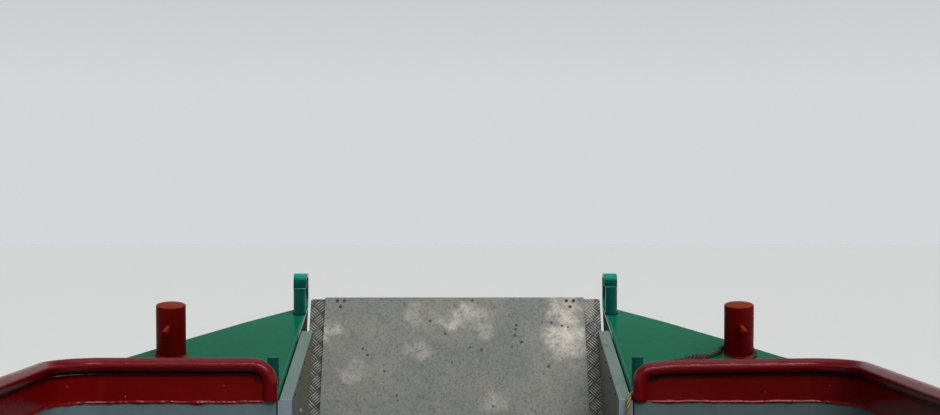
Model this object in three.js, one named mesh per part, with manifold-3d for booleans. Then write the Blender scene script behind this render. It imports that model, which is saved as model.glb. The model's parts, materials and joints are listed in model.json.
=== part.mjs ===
// A steel narrowboat with a blunt bow, a lowering bow ramp, an open well and a cabin behind it.
// Millimetres, +X to starboard, +Y forward, +Z up; the origin is under the middle of the baseplate.
import * as THREE from 'three';
import { mergeVertices } from 'three/addons/utils/BufferGeometryUtils.js';
import Module from 'manifold-3d';

const wasm = await Module();
wasm.setup();

// Whole boat
const sternY = -6868;
const sideX = 1030;
const guardX = 1050;
const plating = 10;
const seat = 0.3;
const gunwaleZ = 1100;
const flange = 8;

// Bow, measured from the front coaming, which stands across the boat at bowY
const bowY = 6000;
const innerX = 452;
const deckRise = 0.2365;
const deckZ = 1232;
const deckPlate = 8;
const rake = 1 / Math.tan(THREE.MathUtils.degToRad(58.5));
const swimY = -950;
const swimSlope = 0.39;
const podAftY = -460;

// Well and its coaming
const wellAftY = 1900;
const floorZ = 620;
const floorPlate = 20;
const railTopZ = 1336;
const railRadius = 19;
const railX = 1015;
const railCorner = 130;
const coamingPlate = 8;
const coamingEndX = 455;
const legX = 470;
const legBend = 69;
const legDrop = 107;

// Ramp
const cheekX = 415;
const cheekPlate = 33;
const rampHalf = 426;
const rampLength = 975;
const rampPlate = 6;
const panelHalf = 383;
const panelPlate = 12;
const rampFoot = { y: bowY + 103, z: floorZ };
const rampAngle = THREE.MathUtils.degToRad(58.5);
const rampPin = { along: 15, out: -20, radius: 15 };
const lugX = 145;
const lugHalf = 50;

// Cabin
const cabinAftY = -4850;
const cabinFloorZ = 200;
const cabinBaseX = 900;
const cabinTopX = 830;
const eavesZ = 1960;
const roofCrown = 40;
const wall = 40;
const doorHalf = 330;
const doorPlate = 30;
const running = 6;
const headerZ = 1880;
const windowWidth = 900;
const windowSill = 1340;
const windowTop = 1760;
const windowYs = [900, -1400, -3700];

// Stern
const swimStartY = -4400;
const swimEndY = -6080;
const swimEndX = 30;
const counterZ = 450;
const sternDeckZ = 1070;
const stockY = -6560;
const stockRadius = 20;
const shaftZ = 245;
const propellerRadius = 180;
const skegTopZ = 50;

// Colours of the paint and the bare materials
const finishes = {
  hull: { color: 0x16191b, roughness: 0.6, metalness: 0.0 },
  deck: { color: 0x1a785f, roughness: 0.45, metalness: 0.0 },
  teal: { color: 0x007068, roughness: 0.35, metalness: 0.0 },
  red: { color: 0x96100c, roughness: 0.25, metalness: 0.0 },
  post: { color: 0x8c1a12, roughness: 0.45, metalness: 0.0 },
  grey: { color: 0x8f9c9c, roughness: 0.5, metalness: 0.0 },
  cheek: { color: 0x7c8884, roughness: 0.6, metalness: 0.0 },
  tread: { color: 0x8d8d88, roughness: 0.45, metalness: 0.8 },
  panel: { color: 0x8f8f8c, roughness: 0.9, metalness: 0.0 },
  cabin: { color: 0x1d6f5c, roughness: 0.35, metalness: 0.0 },
  roof: { color: 0x93998f, roughness: 0.7, metalness: 0.0 },
  wood: { color: 0x8a5a30, roughness: 0.6, metalness: 0.0 },
  brass: { color: 0xb08a3c, roughness: 0.3, metalness: 1.0 },
  iron: { color: 0x24262a, roughness: 0.6, metalness: 0.4 },
  brownRope: { color: 0x4a3222, roughness: 0.9, metalness: 0.0 },
  goldRope: { color: 0x9c7a3a, roughness: 0.9, metalness: 0.0 },
};

const boat = new THREE.Group();

function part(name, geometry, finish, parent = boat) {
  const mesh = new THREE.Mesh(geometry, new THREE.MeshStandardMaterial(finishes[finish]));
  mesh.name = name;
  parent.add(mesh);
  return mesh;
}

// Solids and how they are joined and cut

function solid(geometry) {
  const bare = geometry.index ? geometry.toNonIndexed() : geometry.clone();
  bare.deleteAttribute('normal');
  bare.deleteAttribute('uv');
  const merged = mergeVertices(bare, 1e-3);
  const mesh = new wasm.Mesh({
    numProp: 3,
    vertProperties: Float32Array.from(merged.attributes.position.array),
    triVerts: Uint32Array.from(merged.index.array),
  });
  return new wasm.Manifold(mesh);
}

function geometryOf(body) {
  const mesh = body.getMesh();
  const geometry = new THREE.BufferGeometry();
  const points = new Float32Array(mesh.numVert * 3);
  for (let i = 0; i < mesh.numVert; i += 1) {
    points.set(mesh.vertProperties.slice(i * mesh.numProp, i * mesh.numProp + 3), i * 3);
  }
  geometry.setAttribute('position', new THREE.BufferAttribute(points, 3));
  geometry.setIndex(new THREE.BufferAttribute(Uint32Array.from(mesh.triVerts), 1));
  return geometry;
}

function join(...geometries) {
  return geometryOf(geometries.map(solid).reduce((sum, next) => sum.add(next)));
}

function cut(geometry, ...tools) {
  return geometryOf(tools.map(solid).reduce((rest, next) => rest.subtract(next), solid(geometry)));
}

function common(first, second) {
  return geometryOf(solid(first).intersect(solid(second)));
}

// A mirrored copy for the port side, with its faces turned out again
function mirrored(geometry) {
  const copy = geometry.index ? geometry.toNonIndexed() : geometry.clone();
  const points = copy.attributes.position;
  for (let i = 0; i < points.count; i += 3) {
    const first = [-points.getX(i), points.getY(i), points.getZ(i)];
    const second = [-points.getX(i + 1), points.getY(i + 1), points.getZ(i + 1)];
    points.setXYZ(i, ...second);
    points.setXYZ(i + 1, ...first);
    points.setX(i + 2, -points.getX(i + 2));
  }
  copy.deleteAttribute('normal');
  copy.deleteAttribute('uv');
  return mergeVertices(copy, 1e-3);
}

function pair(name, geometry, finish, parent = boat) {
  part(`${name}_right`, geometry, finish, parent);
  part(`${name}_left`, mirrored(geometry), finish, parent);
}

function outline(points) {
  return new THREE.Shape(points.map(([x, y]) => new THREE.Vector2(x, y)));
}

function extruded(shape, depth) {
  return new THREE.ExtrudeGeometry(shape, { depth, bevelEnabled: false, curveSegments: 8 });
}

function box(x0, x1, y0, y1, z0, z1) {
  const geometry = new THREE.BoxGeometry(x1 - x0, y1 - y0, z1 - z0);
  return geometry.translate((x0 + x1) / 2, (y0 + y1) / 2, (z0 + z1) / 2);
}

// An outline in X and Y, from z0 up to z1
function planPlate(points, z0, z1) {
  return extruded(outline(points), z1 - z0).translate(0, 0, z0);
}

// An outline in Y and Z, from x0 to x1
function sidePlate(points, x0, x1) {
  const turn = new THREE.Matrix4().makeBasis(
    new THREE.Vector3(0, 1, 0),
    new THREE.Vector3(0, 0, 1),
    new THREE.Vector3(1, 0, 0),
  );
  return extruded(outline(points), x1 - x0).applyMatrix4(turn).translate(x0, 0, 0);
}

// An outline in X and Z, from y0 to y1
function crossPlate(points, y0, y1) {
  return extruded(outline(points), y1 - y0).rotateX(Math.PI / 2).translate(0, y1, 0);
}

function rod(radius, length, sides = 24) {
  return new THREE.CylinderGeometry(radius, radius, length, sides).rotateX(Math.PI / 2);
}

function lathed(profile, sides = 24) {
  return new THREE.LatheGeometry(profile.map(([r, z]) => new THREE.Vector2(r, z)), sides)
    .rotateX(Math.PI / 2);
}

// A path whose sections stand exactly at its points
class Route extends THREE.Curve {
  constructor(points) {
    super();
    this.points = points;
  }

  at(u) {
    return Math.round(u * (this.points.length - 1));
  }

  getPointAt(u, target = new THREE.Vector3()) {
    return target.copy(this.points[this.at(u)]);
  }

  getTangentAt(u, target = new THREE.Vector3()) {
    const i = this.at(u);
    const last = this.points.length - 1;
    return target.copy(this.points[Math.min(i + 1, last)])
      .sub(this.points[Math.max(i - 1, 0)]).normalize();
  }
}

// Corners [x, y, z, radius] as a line of points with an arc of that radius at each corner
function bent(corners, arcSteps = 6) {
  const line = [];
  corners.forEach(([x, y, z, radius = 0], i) => {
    const here = new THREE.Vector3(x, y, z);
    if (!radius || i === 0 || i === corners.length - 1) {
      line.push(here);
      return;
    }
    const back = new THREE.Vector3(...corners[i - 1].slice(0, 3)).sub(here).normalize();
    const on = new THREE.Vector3(...corners[i + 1].slice(0, 3)).sub(here).normalize();
    const half = back.angleTo(on) / 2;
    const reach = radius / Math.tan(half);
    const centre = back.clone().add(on).normalize().multiplyScalar(radius / Math.sin(half)).add(here);
    const from = here.clone().addScaledVector(back, reach).sub(centre);
    const to = here.clone().addScaledVector(on, reach).sub(centre);
    const sweep = from.angleTo(to);
    for (let k = 0; k <= arcSteps; k += 1) {
      const t = k / arcSteps;
      const point = from.clone().multiplyScalar(Math.sin((1 - t) * sweep) / Math.sin(sweep));
      line.push(point.addScaledVector(to, Math.sin(t * sweep) / Math.sin(sweep)).add(centre));
    }
  });
  return line;
}

function tube(points, radius, sides = 16) {
  const section = new THREE.Shape();
  for (let i = 0; i < sides; i += 1) {
    const angle = (i / sides) * Math.PI * 2;
    const point = [radius * Math.cos(angle), radius * Math.sin(angle)];
    if (i === 0) section.moveTo(...point);
    else section.lineTo(...point);
  }
  const path = new Route(points);
  return new THREE.ExtrudeGeometry(section, { steps: points.length - 1, extrudePath: path });
}

// Bow: sloping decks on two closed wings, with the ramp between them

// The edge of a wing deck in plan, as x and distance ahead of the coaming
const wingEdge = [
  [1042, 193],
  [900, 325],
  [770, 474],
  [622, 635],
  [500, 752],
];
const wingTipY = 800;

function deckHeight(y) {
  return deckZ + y * deckRise;
}

function swimHeight(y) {
  return (y - swimY) * swimSlope;
}

function wingDeck() {
  const edge = [[innerX, 5], [wingEdge[0][0], 5], ...wingEdge, [innerX, wingTipY]];
  const slab = planPlate(edge.map(([x, y]) => [x, y + bowY]), 0, 1);
  const points = slab.attributes.position;
  for (let i = 0; i < points.count; i += 1) {
    const top = points.getZ(i) > 0.5;
    const height = deckHeight(points.getY(i) - bowY);
    points.setZ(i, top ? height : height - deckPlate);
  }
  const besideLeg = rod(railRadius + seat, 200, 20).translate(legX, bowY, deckZ);
  return cut(slab, besideLeg);
}

// A wing runs down along the rake from the deck to the plane of the swim
function wingBody() {
  const low = podAftY - 700;
  const edge = [
    [innerX, low],
    [sideX - plating - seat, low],
    [sideX - plating - seat, 215],
    ...wingEdge.slice(1),
    [innerX, wingTipY - 10],
  ];
  const raked = planPlate(edge.map(([x, y]) => [x, y]), 0, 1);
  const points = raked.attributes.position;
  for (let i = 0; i < points.count; i += 1) {
    const y = points.getY(i);
    const height = deckHeight(y) - deckPlate - seat;
    const drop = points.getZ(i) > 0.5 ? 0 : (height - swimHeight(y)) / (1 - rake * swimSlope);
    points.setXYZ(i, points.getX(i), y - drop * rake + bowY, height - drop);
  }
  const behind = box(0, 2000, bowY - 4000, bowY + 4 + seat, floorZ - floorPlate - seat, 3000);
  const aft = box(0, 2000, bowY - 4000, bowY + podAftY, -1000, 3000);
  return cut(raked, behind, aft);
}

pair('wing_deck', wingDeck(), 'deck');
pair('wing_body', wingBody(), 'hull');

// Centre of the bow: the rake below the ramp and the swim down to the baseplate
function bowRake() {
  const lipY = 96;
  const lipZ = floorZ - floorPlate - seat;
  const kneeY = (lipY - rake * (lipZ + swimSlope * swimY)) / (1 - rake * swimSlope);
  const knee = [bowY + kneeY, swimHeight(kneeY)];
  const lip = [bowY + lipY, lipZ];
  const foot = [bowY + swimY, plating + seat];
  const inner = plating * 1.2;
  const strip = [
    foot,
    [foot[0] + 26, foot[1]],
    [knee[0], knee[1]],
    lip,
    [lip[0] - inner, lip[1]],
    [knee[0] - inner * 0.7, knee[1] + inner * 0.7],
    [foot[0] - inner, foot[1] + 5],
  ];
  const middle = sidePlate(strip, -(innerX - seat), innerX - seat);
  const wide = sidePlate(strip, -(sideX - plating - seat), sideX - plating - seat);
  const aft = box(-2000, 2000, 0, bowY + podAftY - seat, -100, 3000);
  const lugs = [-lugX, lugX].map((x) => sidePlate([
    [lip[0] - 4, lip[1] - 60],
    [hinge.y + rampPin.radius - 2, hinge.z],
    [hinge.y - rampPin.radius + 2, hinge.z],
    [lip[0] - 8, lip[1] - 10],
  ], x - lugHalf, x + lugHalf));
  const knuckles = [-lugX, lugX].map((x) => rod(rampPin.radius, lugHalf * 2, 20)
    .rotateX(Math.PI / 2).rotateZ(Math.PI / 2).translate(x, hinge.y, hinge.z));
  return join(middle, common(wide, aft), ...lugs, ...knuckles);
}

const hinge = {
  y: rampFoot.y + rampPin.along * Math.cos(rampAngle) - rampPin.out * Math.sin(rampAngle),
  z: rampFoot.z + rampPin.along * Math.sin(rampAngle) + rampPin.out * Math.cos(rampAngle),
};
part('bow_rake', bowRake(), 'hull');

// Cheeks stand beside the ramp, just behind its plate
function cheek() {
  const behindRamp = 6;
  const frontLow = rampFoot.y - bowY - behindRamp;
  const topFront = (deckZ - floorZ + frontLow / rake) / (1 / rake - deckRise);
  const side = [
    [bowY, floorZ + seat],
    [bowY + frontLow, floorZ + seat],
    [bowY + topFront, deckHeight(topFront)],
    [bowY, deckZ],
  ];
  return sidePlate(side, cheekX, cheekX + cheekPlate);
}

pair('cheek', cheek(), 'cheek');

// Things that stand square on the sloping deck, placed by x, distance ahead and height
function onDeck(geometry, x, y) {
  return geometry.rotateX(Math.atan(deckRise)).translate(x, bowY + y, deckHeight(y) + seat);
}

const post = { x: 784, y: 350, radius: 40.5, height: 141, pinZ: 85, pinRadius: 9, pinReach: 100 };
const peg = { x: 475, y: 96, radius: 15, height: 75 };

function bollard() {
  const stem = rod(post.radius, post.height, 32).translate(0, 0, post.height / 2);
  const pin = rod(post.pinRadius, post.pinReach, 14).rotateX(Math.PI / 2)
    .translate(0, -post.pinReach / 2, post.pinZ);
  return join(stem, pin);
}

pair('bollard', onDeck(bollard(), post.x, post.y), 'post');

// A peg stands plumb, its foot cut to the slope of the deck
function deckPeg() {
  const foot = deckHeight(peg.y);
  const under = sidePlate([
    [bowY, deckZ - 100],
    [bowY + 200, deckZ - 100],
    [bowY + 200, deckHeight(200) + seat],
    [bowY, deckZ + seat],
  ], innerX, innerX + 100);
  const stem = rod(peg.radius, peg.height + 20, 20);
  return cut(stem.translate(peg.x, bowY + peg.y, foot + (peg.height - 20) / 2), under);
}

pair('deck_peg', deckPeg(), 'teal');

// A hoop rises from the wing tip, turns over and runs down the stem
function hoop() {
  const hoopX = 473.5;
  const tubeRadius = 18;
  const nearY = 716;
  const farY = 852;
  const topZ = deckHeight(nearY) + 122 - tubeRadius;
  const fall = 5.5;
  const bend = 30;
  const stemLow = 560;
  const stemY = (z) => farY - (deckHeight(farY) - z) * rake;
  const line = bent([
    [hoopX, bowY + nearY, deckHeight(nearY) + seat + tubeRadius * deckRise],
    [hoopX, bowY + nearY, topZ, bend],
    [hoopX, bowY + farY, topZ - fall, bend],
    [hoopX, bowY + farY, deckHeight(farY) - 6, 60],
    [hoopX, bowY + stemY(stemLow), stemLow],
  ]);
  return tube(line, tubeRadius, 16);
}

pair('bow_hoop', hoop(), 'teal');

// Hull plating

part('baseplate', planPlate([
  [-sideX, swimStartY],
  [-swimEndX, swimEndY],
  [swimEndX, swimEndY],
  [sideX, swimStartY],
  [sideX, bowY + swimY],
  [-sideX, bowY + swimY],
], 0, plating), 'hull');

function hullSide() {
  const cornerTop = 212;
  const top = deckHeight(cornerTop) - deckPlate - seat;
  const drop = (top - swimHeight(cornerTop)) / (1 - rake * swimSlope);
  const foot = bowY + swimY;
  const side = sidePlate([
    [swimStartY, plating + seat],
    [foot, plating + seat],
    [foot + 26, plating + seat],
    [bowY + cornerTop - drop * rake, top - drop],
    [bowY + cornerTop, top],
    [bowY + 5, deckHeight(5) - deckPlate - seat],
    [bowY - 40, gunwaleZ + 70],
    [bowY - 160, gunwaleZ],
    [swimStartY, gunwaleZ],
  ], sideX - plating, sideX);
  const besideCabin = box(cabinBaseX - wall, sideX, swimStartY, wellAftY, gunwaleZ - flange, gunwaleZ);
  const besideWell = box(960, sideX, wellAftY, bowY - 10, gunwaleZ - flange, gunwaleZ);
  const guards = [
    [gunwaleZ - 50, swimStartY, bowY + 60],
    [760, swimStartY, bowY - 110],
  ].map(([z, y0, y1]) => box(sideX - 2, guardX, y0, y1, z - 20, z + 20));
  return join(side, besideCabin, besideWell, ...guards);
}

pair('hull_side', hullSide(), 'hull');

// Well: floor, coaming plates with their tube rails, benches

part('well_floor', planPlate([
  [-(sideX - plating - seat), wellAftY + seat],
  [sideX - plating - seat, wellAftY + seat],
  [sideX - plating - seat, bowY + 4],
  [innerX - seat, bowY + 4],
  [innerX - seat, bowY + 86],
  [-(innerX - seat), bowY + 86],
  [-(innerX - seat), bowY + 4],
  [-(sideX - plating - seat), bowY + 4],
], floorZ - floorPlate, floorZ), 'grey');

function arc(cx, cy, radius, from, to, steps) {
  return Array.from({ length: steps + 1 }, (_, i) => {
    const angle = from + ((to - from) * i) / steps;
    return [cx + radius * Math.cos(angle), cy + radius * Math.sin(angle)];
  });
}

function coaming() {
  const half = coamingPlate / 2;
  const topZ = railTopZ - railRadius * 2 - seat;
  const quarter = Math.PI / 2;
  const cornerX = railX - railCorner;
  const cornerY = bowY - railCorner;
  const bendX = legX + legBend;
  const bendZ = railTopZ - railRadius - legBend;
  const strip = [
    ...arc(cornerX, cornerY, railCorner + half, 0, quarter, 6),
    [bendX, bowY + half],
    [bendX, bowY - half],
    ...arc(cornerX, cornerY, railCorner - half, quarter, 0, 6),
    [railX - half, wellAftY + seat],
    [railX + half, wellAftY + seat],
  ];
  const inside = arc(bendX, bendZ, legBend - railRadius - seat, Math.PI, quarter, 4);
  const front = crossPlate([
    [coamingEndX, floorZ + seat],
    [sideX - plating - seat, floorZ + seat],
    [sideX - plating - seat, gunwaleZ],
    [cornerX, gunwaleZ],
    [cornerX, topZ],
    ...inside.reverse(),
    [legX + railRadius + seat, railTopZ - legDrop],
    [coamingEndX, railTopZ - legDrop],
  ], bowY - half, bowY + half);
  return join(planPlate(strip, gunwaleZ + seat, topZ), front);
}

pair('coaming', coaming(), 'grey');

pair('rail', tube(bent([
  [legX, bowY, railTopZ - legDrop + seat],
  [legX, bowY, railTopZ - railRadius, legBend],
  [railX, bowY, railTopZ - railRadius, railCorner],
  [railX, wellAftY + seat, railTopZ - railRadius],
], 8), railRadius, 20), 'red');

function bench() {
  const [aftY, foreY] = [2420, 5480];
  const seatZ = floorZ + 420;
  const inboard = 640;
  const outboard = sideX - plating - seat;
  const legs = [0, 1, 2, 3, 4].map((i) => {
    const y = aftY + 60 + (i * (foreY - aftY - 150)) / 4;
    return box(inboard + 30, outboard, y, y + 30, floorZ + seat, seatZ - 25);
  });
  const board = box(inboard, outboard, aftY, foreY, seatZ - 30, seatZ);
  const apron = box(inboard + 20, inboard + 42, aftY + 60, foreY - 60, seatZ - 110, seatZ - 28);
  return join(board, apron, ...legs);
}

pair('bench', bench(), 'wood');

// Cabin

function cabinX(z) {
  return cabinBaseX - ((cabinBaseX - cabinTopX) * (z - gunwaleZ)) / (eavesZ - gunwaleZ);
}

function cabinSide() {
  const side = crossPlate([
    [cabinX(gunwaleZ), gunwaleZ + seat],
    [cabinX(eavesZ), eavesZ],
    [cabinX(eavesZ) - wall, eavesZ],
    [cabinX(gunwaleZ) - wall, gunwaleZ + seat],
  ], cabinAftY, wellAftY);
  const openings = windowYs.map((y) => {
    const corner = 90;
    const [y0, y1] = [y - windowWidth / 2, y + windowWidth / 2];
    const quarter = Math.PI / 2;
    return sidePlate([
      ...arc(y1 - corner, windowTop - corner, corner, 0, quarter, 4),
      ...arc(y0 + corner, windowTop - corner, corner, quarter, 2 * quarter, 4),
      ...arc(y0 + corner, windowSill + corner, corner, 2 * quarter, 3 * quarter, 4),
      ...arc(y1 - corner, windowSill + corner, corner, 3 * quarter, 4 * quarter, 4),
    ], 600, 1100);
  });
  return cut(side, ...openings);
}

pair('cabin_side', cabinSide(), 'cabin');

// The roof has a camber between level eaves, as points from port to starboard, raised by lift
const roofEdgeX = cabinTopX + 12;
const camberX = cabinTopX - wall - 2;
const roofFacets = 9;

function camberLine(lift) {
  return Array.from({ length: roofFacets + 1 }, (_, i) => {
    const x = camberX * ((2 * i) / roofFacets - 1);
    const middle = camberX / roofFacets;
    const camber = 1 - Math.max(0, (Math.abs(x) - middle) / (camberX - middle)) ** 2;
    return [x, eavesZ + seat + lift + roofCrown * camber];
  });
}

function roofLine(lift) {
  const z = eavesZ + seat + lift;
  return [[-roofEdgeX, z], ...camberLine(lift), [roofEdgeX, z]];
}

function roof() {
  const shell = crossPlate([...roofLine(wall), ...roofLine(0).reverse()], cabinAftY - 30, wellAftY + 30);
  const hatchway = box(-doorHalf, doorHalf, cabinAftY + 60, cabinAftY + 620, 1800, 2200);
  const runners = [-1, 1].map((side) => {
    const x = side * (doorHalf + 45);
    return box(x - 12, x + 12, cabinAftY, cabinAftY + 1320, eavesZ + wall, hatchZ);
  });
  return join(cut(shell, hatchway), ...runners);
}

const roofTopZ = eavesZ + seat + wall + roofCrown;
const hatchZ = roofTopZ + 12;

function onRoof(geometry) {
  const under = crossPlate([
    [roofEdgeX, eavesZ - 200],
    ...roofLine(wall + seat).reverse(),
    [-roofEdgeX, eavesZ - 200],
  ], cabinAftY - 100, wellAftY + 100);
  return cut(geometry, under);
}

part('cabin_roof', roof(), 'roof');

function handrail() {
  const [aftY, foreY] = [cabinAftY + 250, wellAftY - 250];
  const x = 745;
  const bar = box(x - 14, x + 14, aftY, foreY, roofTopZ + 8, roofTopZ + 36);
  const feet = Array.from({ length: 7 }, (_, i) => {
    const y = aftY + 60 + (i * (foreY - aftY - 120)) / 6;
    return box(x - 12, x + 12, y - 25, y + 25, eavesZ, roofTopZ + 10);
  });
  return onRoof(join(bar, ...feet));
}

pair('roof_handrail', handrail(), 'red');

const ventProfile = [[0, 0], [62, 0], [62, 8], [34, 14], [34, 62], [92, 66], [84, 88], [50, 104], [0, 110]];
[1100, -2300].forEach((y, i) => {
  const vent = lathed(ventProfile).translate(0, y, roofTopZ + seat);
  part(`roof_vent_${i + 1}`, vent, 'brass');
});

const chimneyProfile = [[0, -60], [80, -60], [80, 40], [62, 46], [62, 420], [78, 426], [78, 452], [0, 452]];
part('chimney', onRoof(lathed(chimneyProfile).translate(-480, 300, roofTopZ)), 'iron');

function headlamp() {
  const foot = box(-25, 25, 1700, 1760, roofTopZ + seat, roofTopZ + 60);
  const bowl = lathed([[0, 0], [40, 6], [82, 50], [92, 100], [92, 118], [0, 118]], 28)
    .rotateX(-Math.PI / 2).translate(0, 1690, roofTopZ + 140);
  return join(foot, bowl);
}

part('headlamp', headlamp(), 'brass');

// A bulkhead from footZ to the roof, with a doorway from sillZ up
function bulkhead(y0, y1, footZ, sillZ) {
  const inside = (z) => cabinX(z) - wall - seat;
  const low = sideX - plating - seat;
  const half = [
    [low, footZ + seat],
    [low, gunwaleZ - flange - seat],
    [inside(gunwaleZ), gunwaleZ - flange - seat],
    [inside(eavesZ), eavesZ],
  ];
  const port = half.map(([x, z]) => [-x, z]).reverse();
  const sheet = crossPlate([...half, ...camberLine(-seat).reverse(), ...port], y0, y1);
  return cut(sheet, box(-doorHalf, doorHalf, y0 - 1, y1 + 1, sillZ, headerZ));
}

const doors = [
  { name: 'front_door', faceY: wellAftY, out: 1, sillZ: floorZ + 20 },
  { name: 'rear_door', faceY: cabinAftY, out: -1, sillZ: sternDeckZ + 30 },
];
const pinOut = 10;
const knuckle = { radius: 9, height: 60, gudgeon: 34 };

function knuckleHeights(sillZ) {
  return [sillZ + 130, headerZ - 190];
}

// The gudgeons that carry a leaf's knuckles, on the wall beside the doorway
function gudgeons({ faceY, out, sillZ }) {
  return [-1, 1].flatMap((side) => knuckleHeights(sillZ).flatMap((z) => {
    const y = faceY + out * pinOut;
    const top = z - seat;
    const eye = rod(knuckle.radius, knuckle.gudgeon, 14);
    const low = Math.min(side * doorHalf, side * (doorHalf + 46));
    const back = Math.min(faceY - out * 6, y);
    return [
      eye.translate(side * doorHalf, y, top - knuckle.gudgeon / 2),
      box(low, low + 46, back, back + pinOut + 6, top - knuckle.gudgeon, top),
    ];
  }));
}

part('front_bulkhead', join(
  bulkhead(wellAftY - wall, wellAftY, plating, doors[0].sillZ),
  ...gudgeons(doors[0]),
), 'cabin');
part('rear_bulkhead', join(
  bulkhead(cabinAftY, cabinAftY + wall, counterZ + plating, doors[1].sillZ),
  ...gudgeons(doors[1]),
), 'cabin');

doors.forEach((door) => {
  const { name, faceY, out, sillZ } = door;
  const inner = faceY - out * doorPlate;
  const leaf = box(
    running / 2,
    doorHalf - running,
    Math.min(faceY, inner),
    Math.max(faceY, inner),
    sillZ + running,
    headerZ - running,
  );
  const y = faceY + out * pinOut;
  const hinges = knuckleHeights(sillZ).flatMap((z) => {
    const back = Math.min(faceY - out * 6, y);
    return [
      rod(knuckle.radius, knuckle.height, 14).translate(doorHalf, y, z + knuckle.height / 2),
      box(doorHalf - 60, doorHalf, back, back + pinOut + 6, z, z + knuckle.height),
    ];
  });
  pair(name, join(leaf, ...hinges), 'cabin');
});

part('cabin_floor', box(
  -(sideX - plating - seat),
  sideX - plating - seat,
  cabinAftY + wall + seat + 450,
  wellAftY - wall - seat,
  cabinFloorZ - 30,
  cabinFloorZ,
), 'wood');

part('roof_hatch', join(
  box(-(doorHalf + 57), doorHalf + 57, cabinAftY - 20, cabinAftY + 680, hatchZ + seat, hatchZ + 26),
  box(-(doorHalf + 20), doorHalf + 20, cabinAftY - 20, cabinAftY + 8, roofTopZ + 8, hatchZ + 10),
), 'red');

// Stern: counter, swim, skeg, deck, engine

function counterOutline(inset) {
  const halfWidth = sideX - inset;
  const roundY = -5900;
  const length = roundY - sternY - 20 - inset;
  const end = Array.from({ length: 17 }, (_, i) => {
    const angle = (Math.PI * i) / 16;
    const blunt = 0.78;
    const c = Math.cos(angle);
    const s = Math.sin(angle);
    return [halfWidth * Math.sign(c) * Math.abs(c) ** blunt, roundY - length * s ** blunt];
  });
  return [[halfWidth, swimStartY - seat], [-halfWidth, swimStartY - seat], ...end.reverse()];
}

function counter() {
  const tub = cut(
    planPlate(counterOutline(0), counterZ, gunwaleZ),
    planPlate(counterOutline(plating), counterZ + plating, gunwaleZ + 10),
  );
  const open = box(-2000, 2000, swimStartY - 12, swimStartY + 12, counterZ - 10, gunwaleZ + 10);
  const engineWell = planPlate([
    [-780, swimStartY + 20],
    [-275, -5612],
    [275, -5612],
    [780, swimStartY + 20],
  ], counterZ - 10, counterZ + plating + 10);
  const stockHole = rod(stockRadius + 4, 100, 20).translate(0, stockY, counterZ);
  const flanges = [-1, 1].map((side) => {
    const low = Math.min(side * (cabinBaseX - wall), side * (sideX - 1));
    const width = sideX - 1 - cabinBaseX + wall;
    return box(low, low + width, cabinAftY, swimStartY - seat, gunwaleZ - flange, gunwaleZ);
  });
  const guard = cut(
    planPlate(counterOutline(-20), gunwaleZ - 70, gunwaleZ - 30),
    planPlate(counterOutline(2), gunwaleZ - 80, gunwaleZ - 20),
  );
  const front = box(-2000, 2000, swimStartY - seat, swimStartY + 40, 0, 2000);
  return cut(join(cut(tub, open, engineWell, stockHole), ...flanges, guard), front);
}

part('stern_counter', counter(), 'hull');

function sternSwim() {
  const inner = plating * 1.15;
  const vee = planPlate([
    [sideX - plating - seat, swimStartY],
    [swimEndX, swimEndY],
    [-swimEndX, swimEndY],
    [-(sideX - plating - seat), swimStartY],
    [-(sideX - plating - seat - inner), swimStartY],
    [-(swimEndX - 14), swimEndY + 40],
    [swimEndX - 14, swimEndY + 40],
    [sideX - plating - seat - inner, swimStartY],
  ], plating + seat, counterZ - seat);
  const boss = rod(42, 90, 20).rotateX(Math.PI / 2).translate(0, swimEndY - 15, shaftZ);
  return join(vee, boss);
}

part('stern_swim', sternSwim(), 'hull');
part('skeg', box(-swimEndX, swimEndX, stockY - 60, swimEndY - seat, 0, skegTopZ), 'hull');

const deckOutline = counterOutline(plating + seat).slice(2);
part('stern_deck', cut(
  planPlate([
    [sideX - plating - seat, cabinAftY - seat],
    [-(sideX - plating - seat), cabinAftY - seat],
    ...deckOutline,
  ], sternDeckZ - 10, sternDeckZ),
  rod(stockRadius + 4, 100, 20).translate(0, stockY, sternDeckZ),
), 'deck');

part('engine', join(
  box(-260, 260, -5600, -5000, 300, 850),
  box(-230, -170, -5600, -4960, plating + seat, 310),
  box(170, 230, -5600, -4960, plating + seat, 310),
), 'iron');

pair('stern_bollard', bollard().translate(760, -6150, sternDeckZ + seat), 'post');

function sternRail() {
  const x = 930;
  const topZ = 1500;
  const line = bent([
    [x, -5500, sternDeckZ + seat],
    [x, -5500, topZ, 90],
    [x, -6420, topZ, 260],
    [400, -6740, topZ, 200],
    [-400, -6740, topZ, 200],
    [-x, -6420, topZ, 260],
    [-x, -5500, topZ, 90],
    [-x, -5500, sternDeckZ + seat],
  ]);
  const legs = [[x, -6160], [-x, -6160], [330, -6740], [-330, -6740]].map(([legAt, y]) => (
    rod(14, topZ - sternDeckZ - seat, 14).translate(legAt, y, (topZ + sternDeckZ + seat) / 2)
  ));
  return join(tube(line, 16, 12), ...legs);
}

part('stern_rail', sternRail(), 'red');

// Rudder with its stock and tiller, turning about the stock

function rudder() {
  const blade = sidePlate([
    [stockY + 95, skegTopZ + 14],
    [stockY + 95, counterZ - 16],
    [stockY - 270, counterZ - 16],
    [stockY - 285, skegTopZ + 60],
    [stockY - 240, skegTopZ + 14],
  ], -8, 8);
  const stock = rod(stockRadius, 1300 - skegTopZ - seat, 20)
    .translate(0, stockY, (1300 + skegTopZ + seat) / 2);
  const arm = tube(bent([
    [0, stockY, 1280],
    [0, stockY, 1400, 90],
    [0, stockY + 320, 1560, 120],
    [0, stockY + 880, 1600],
  ]), 17, 12);
  return join(blade, stock, arm);
}

part('rudder', rudder(), 'red');

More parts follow.
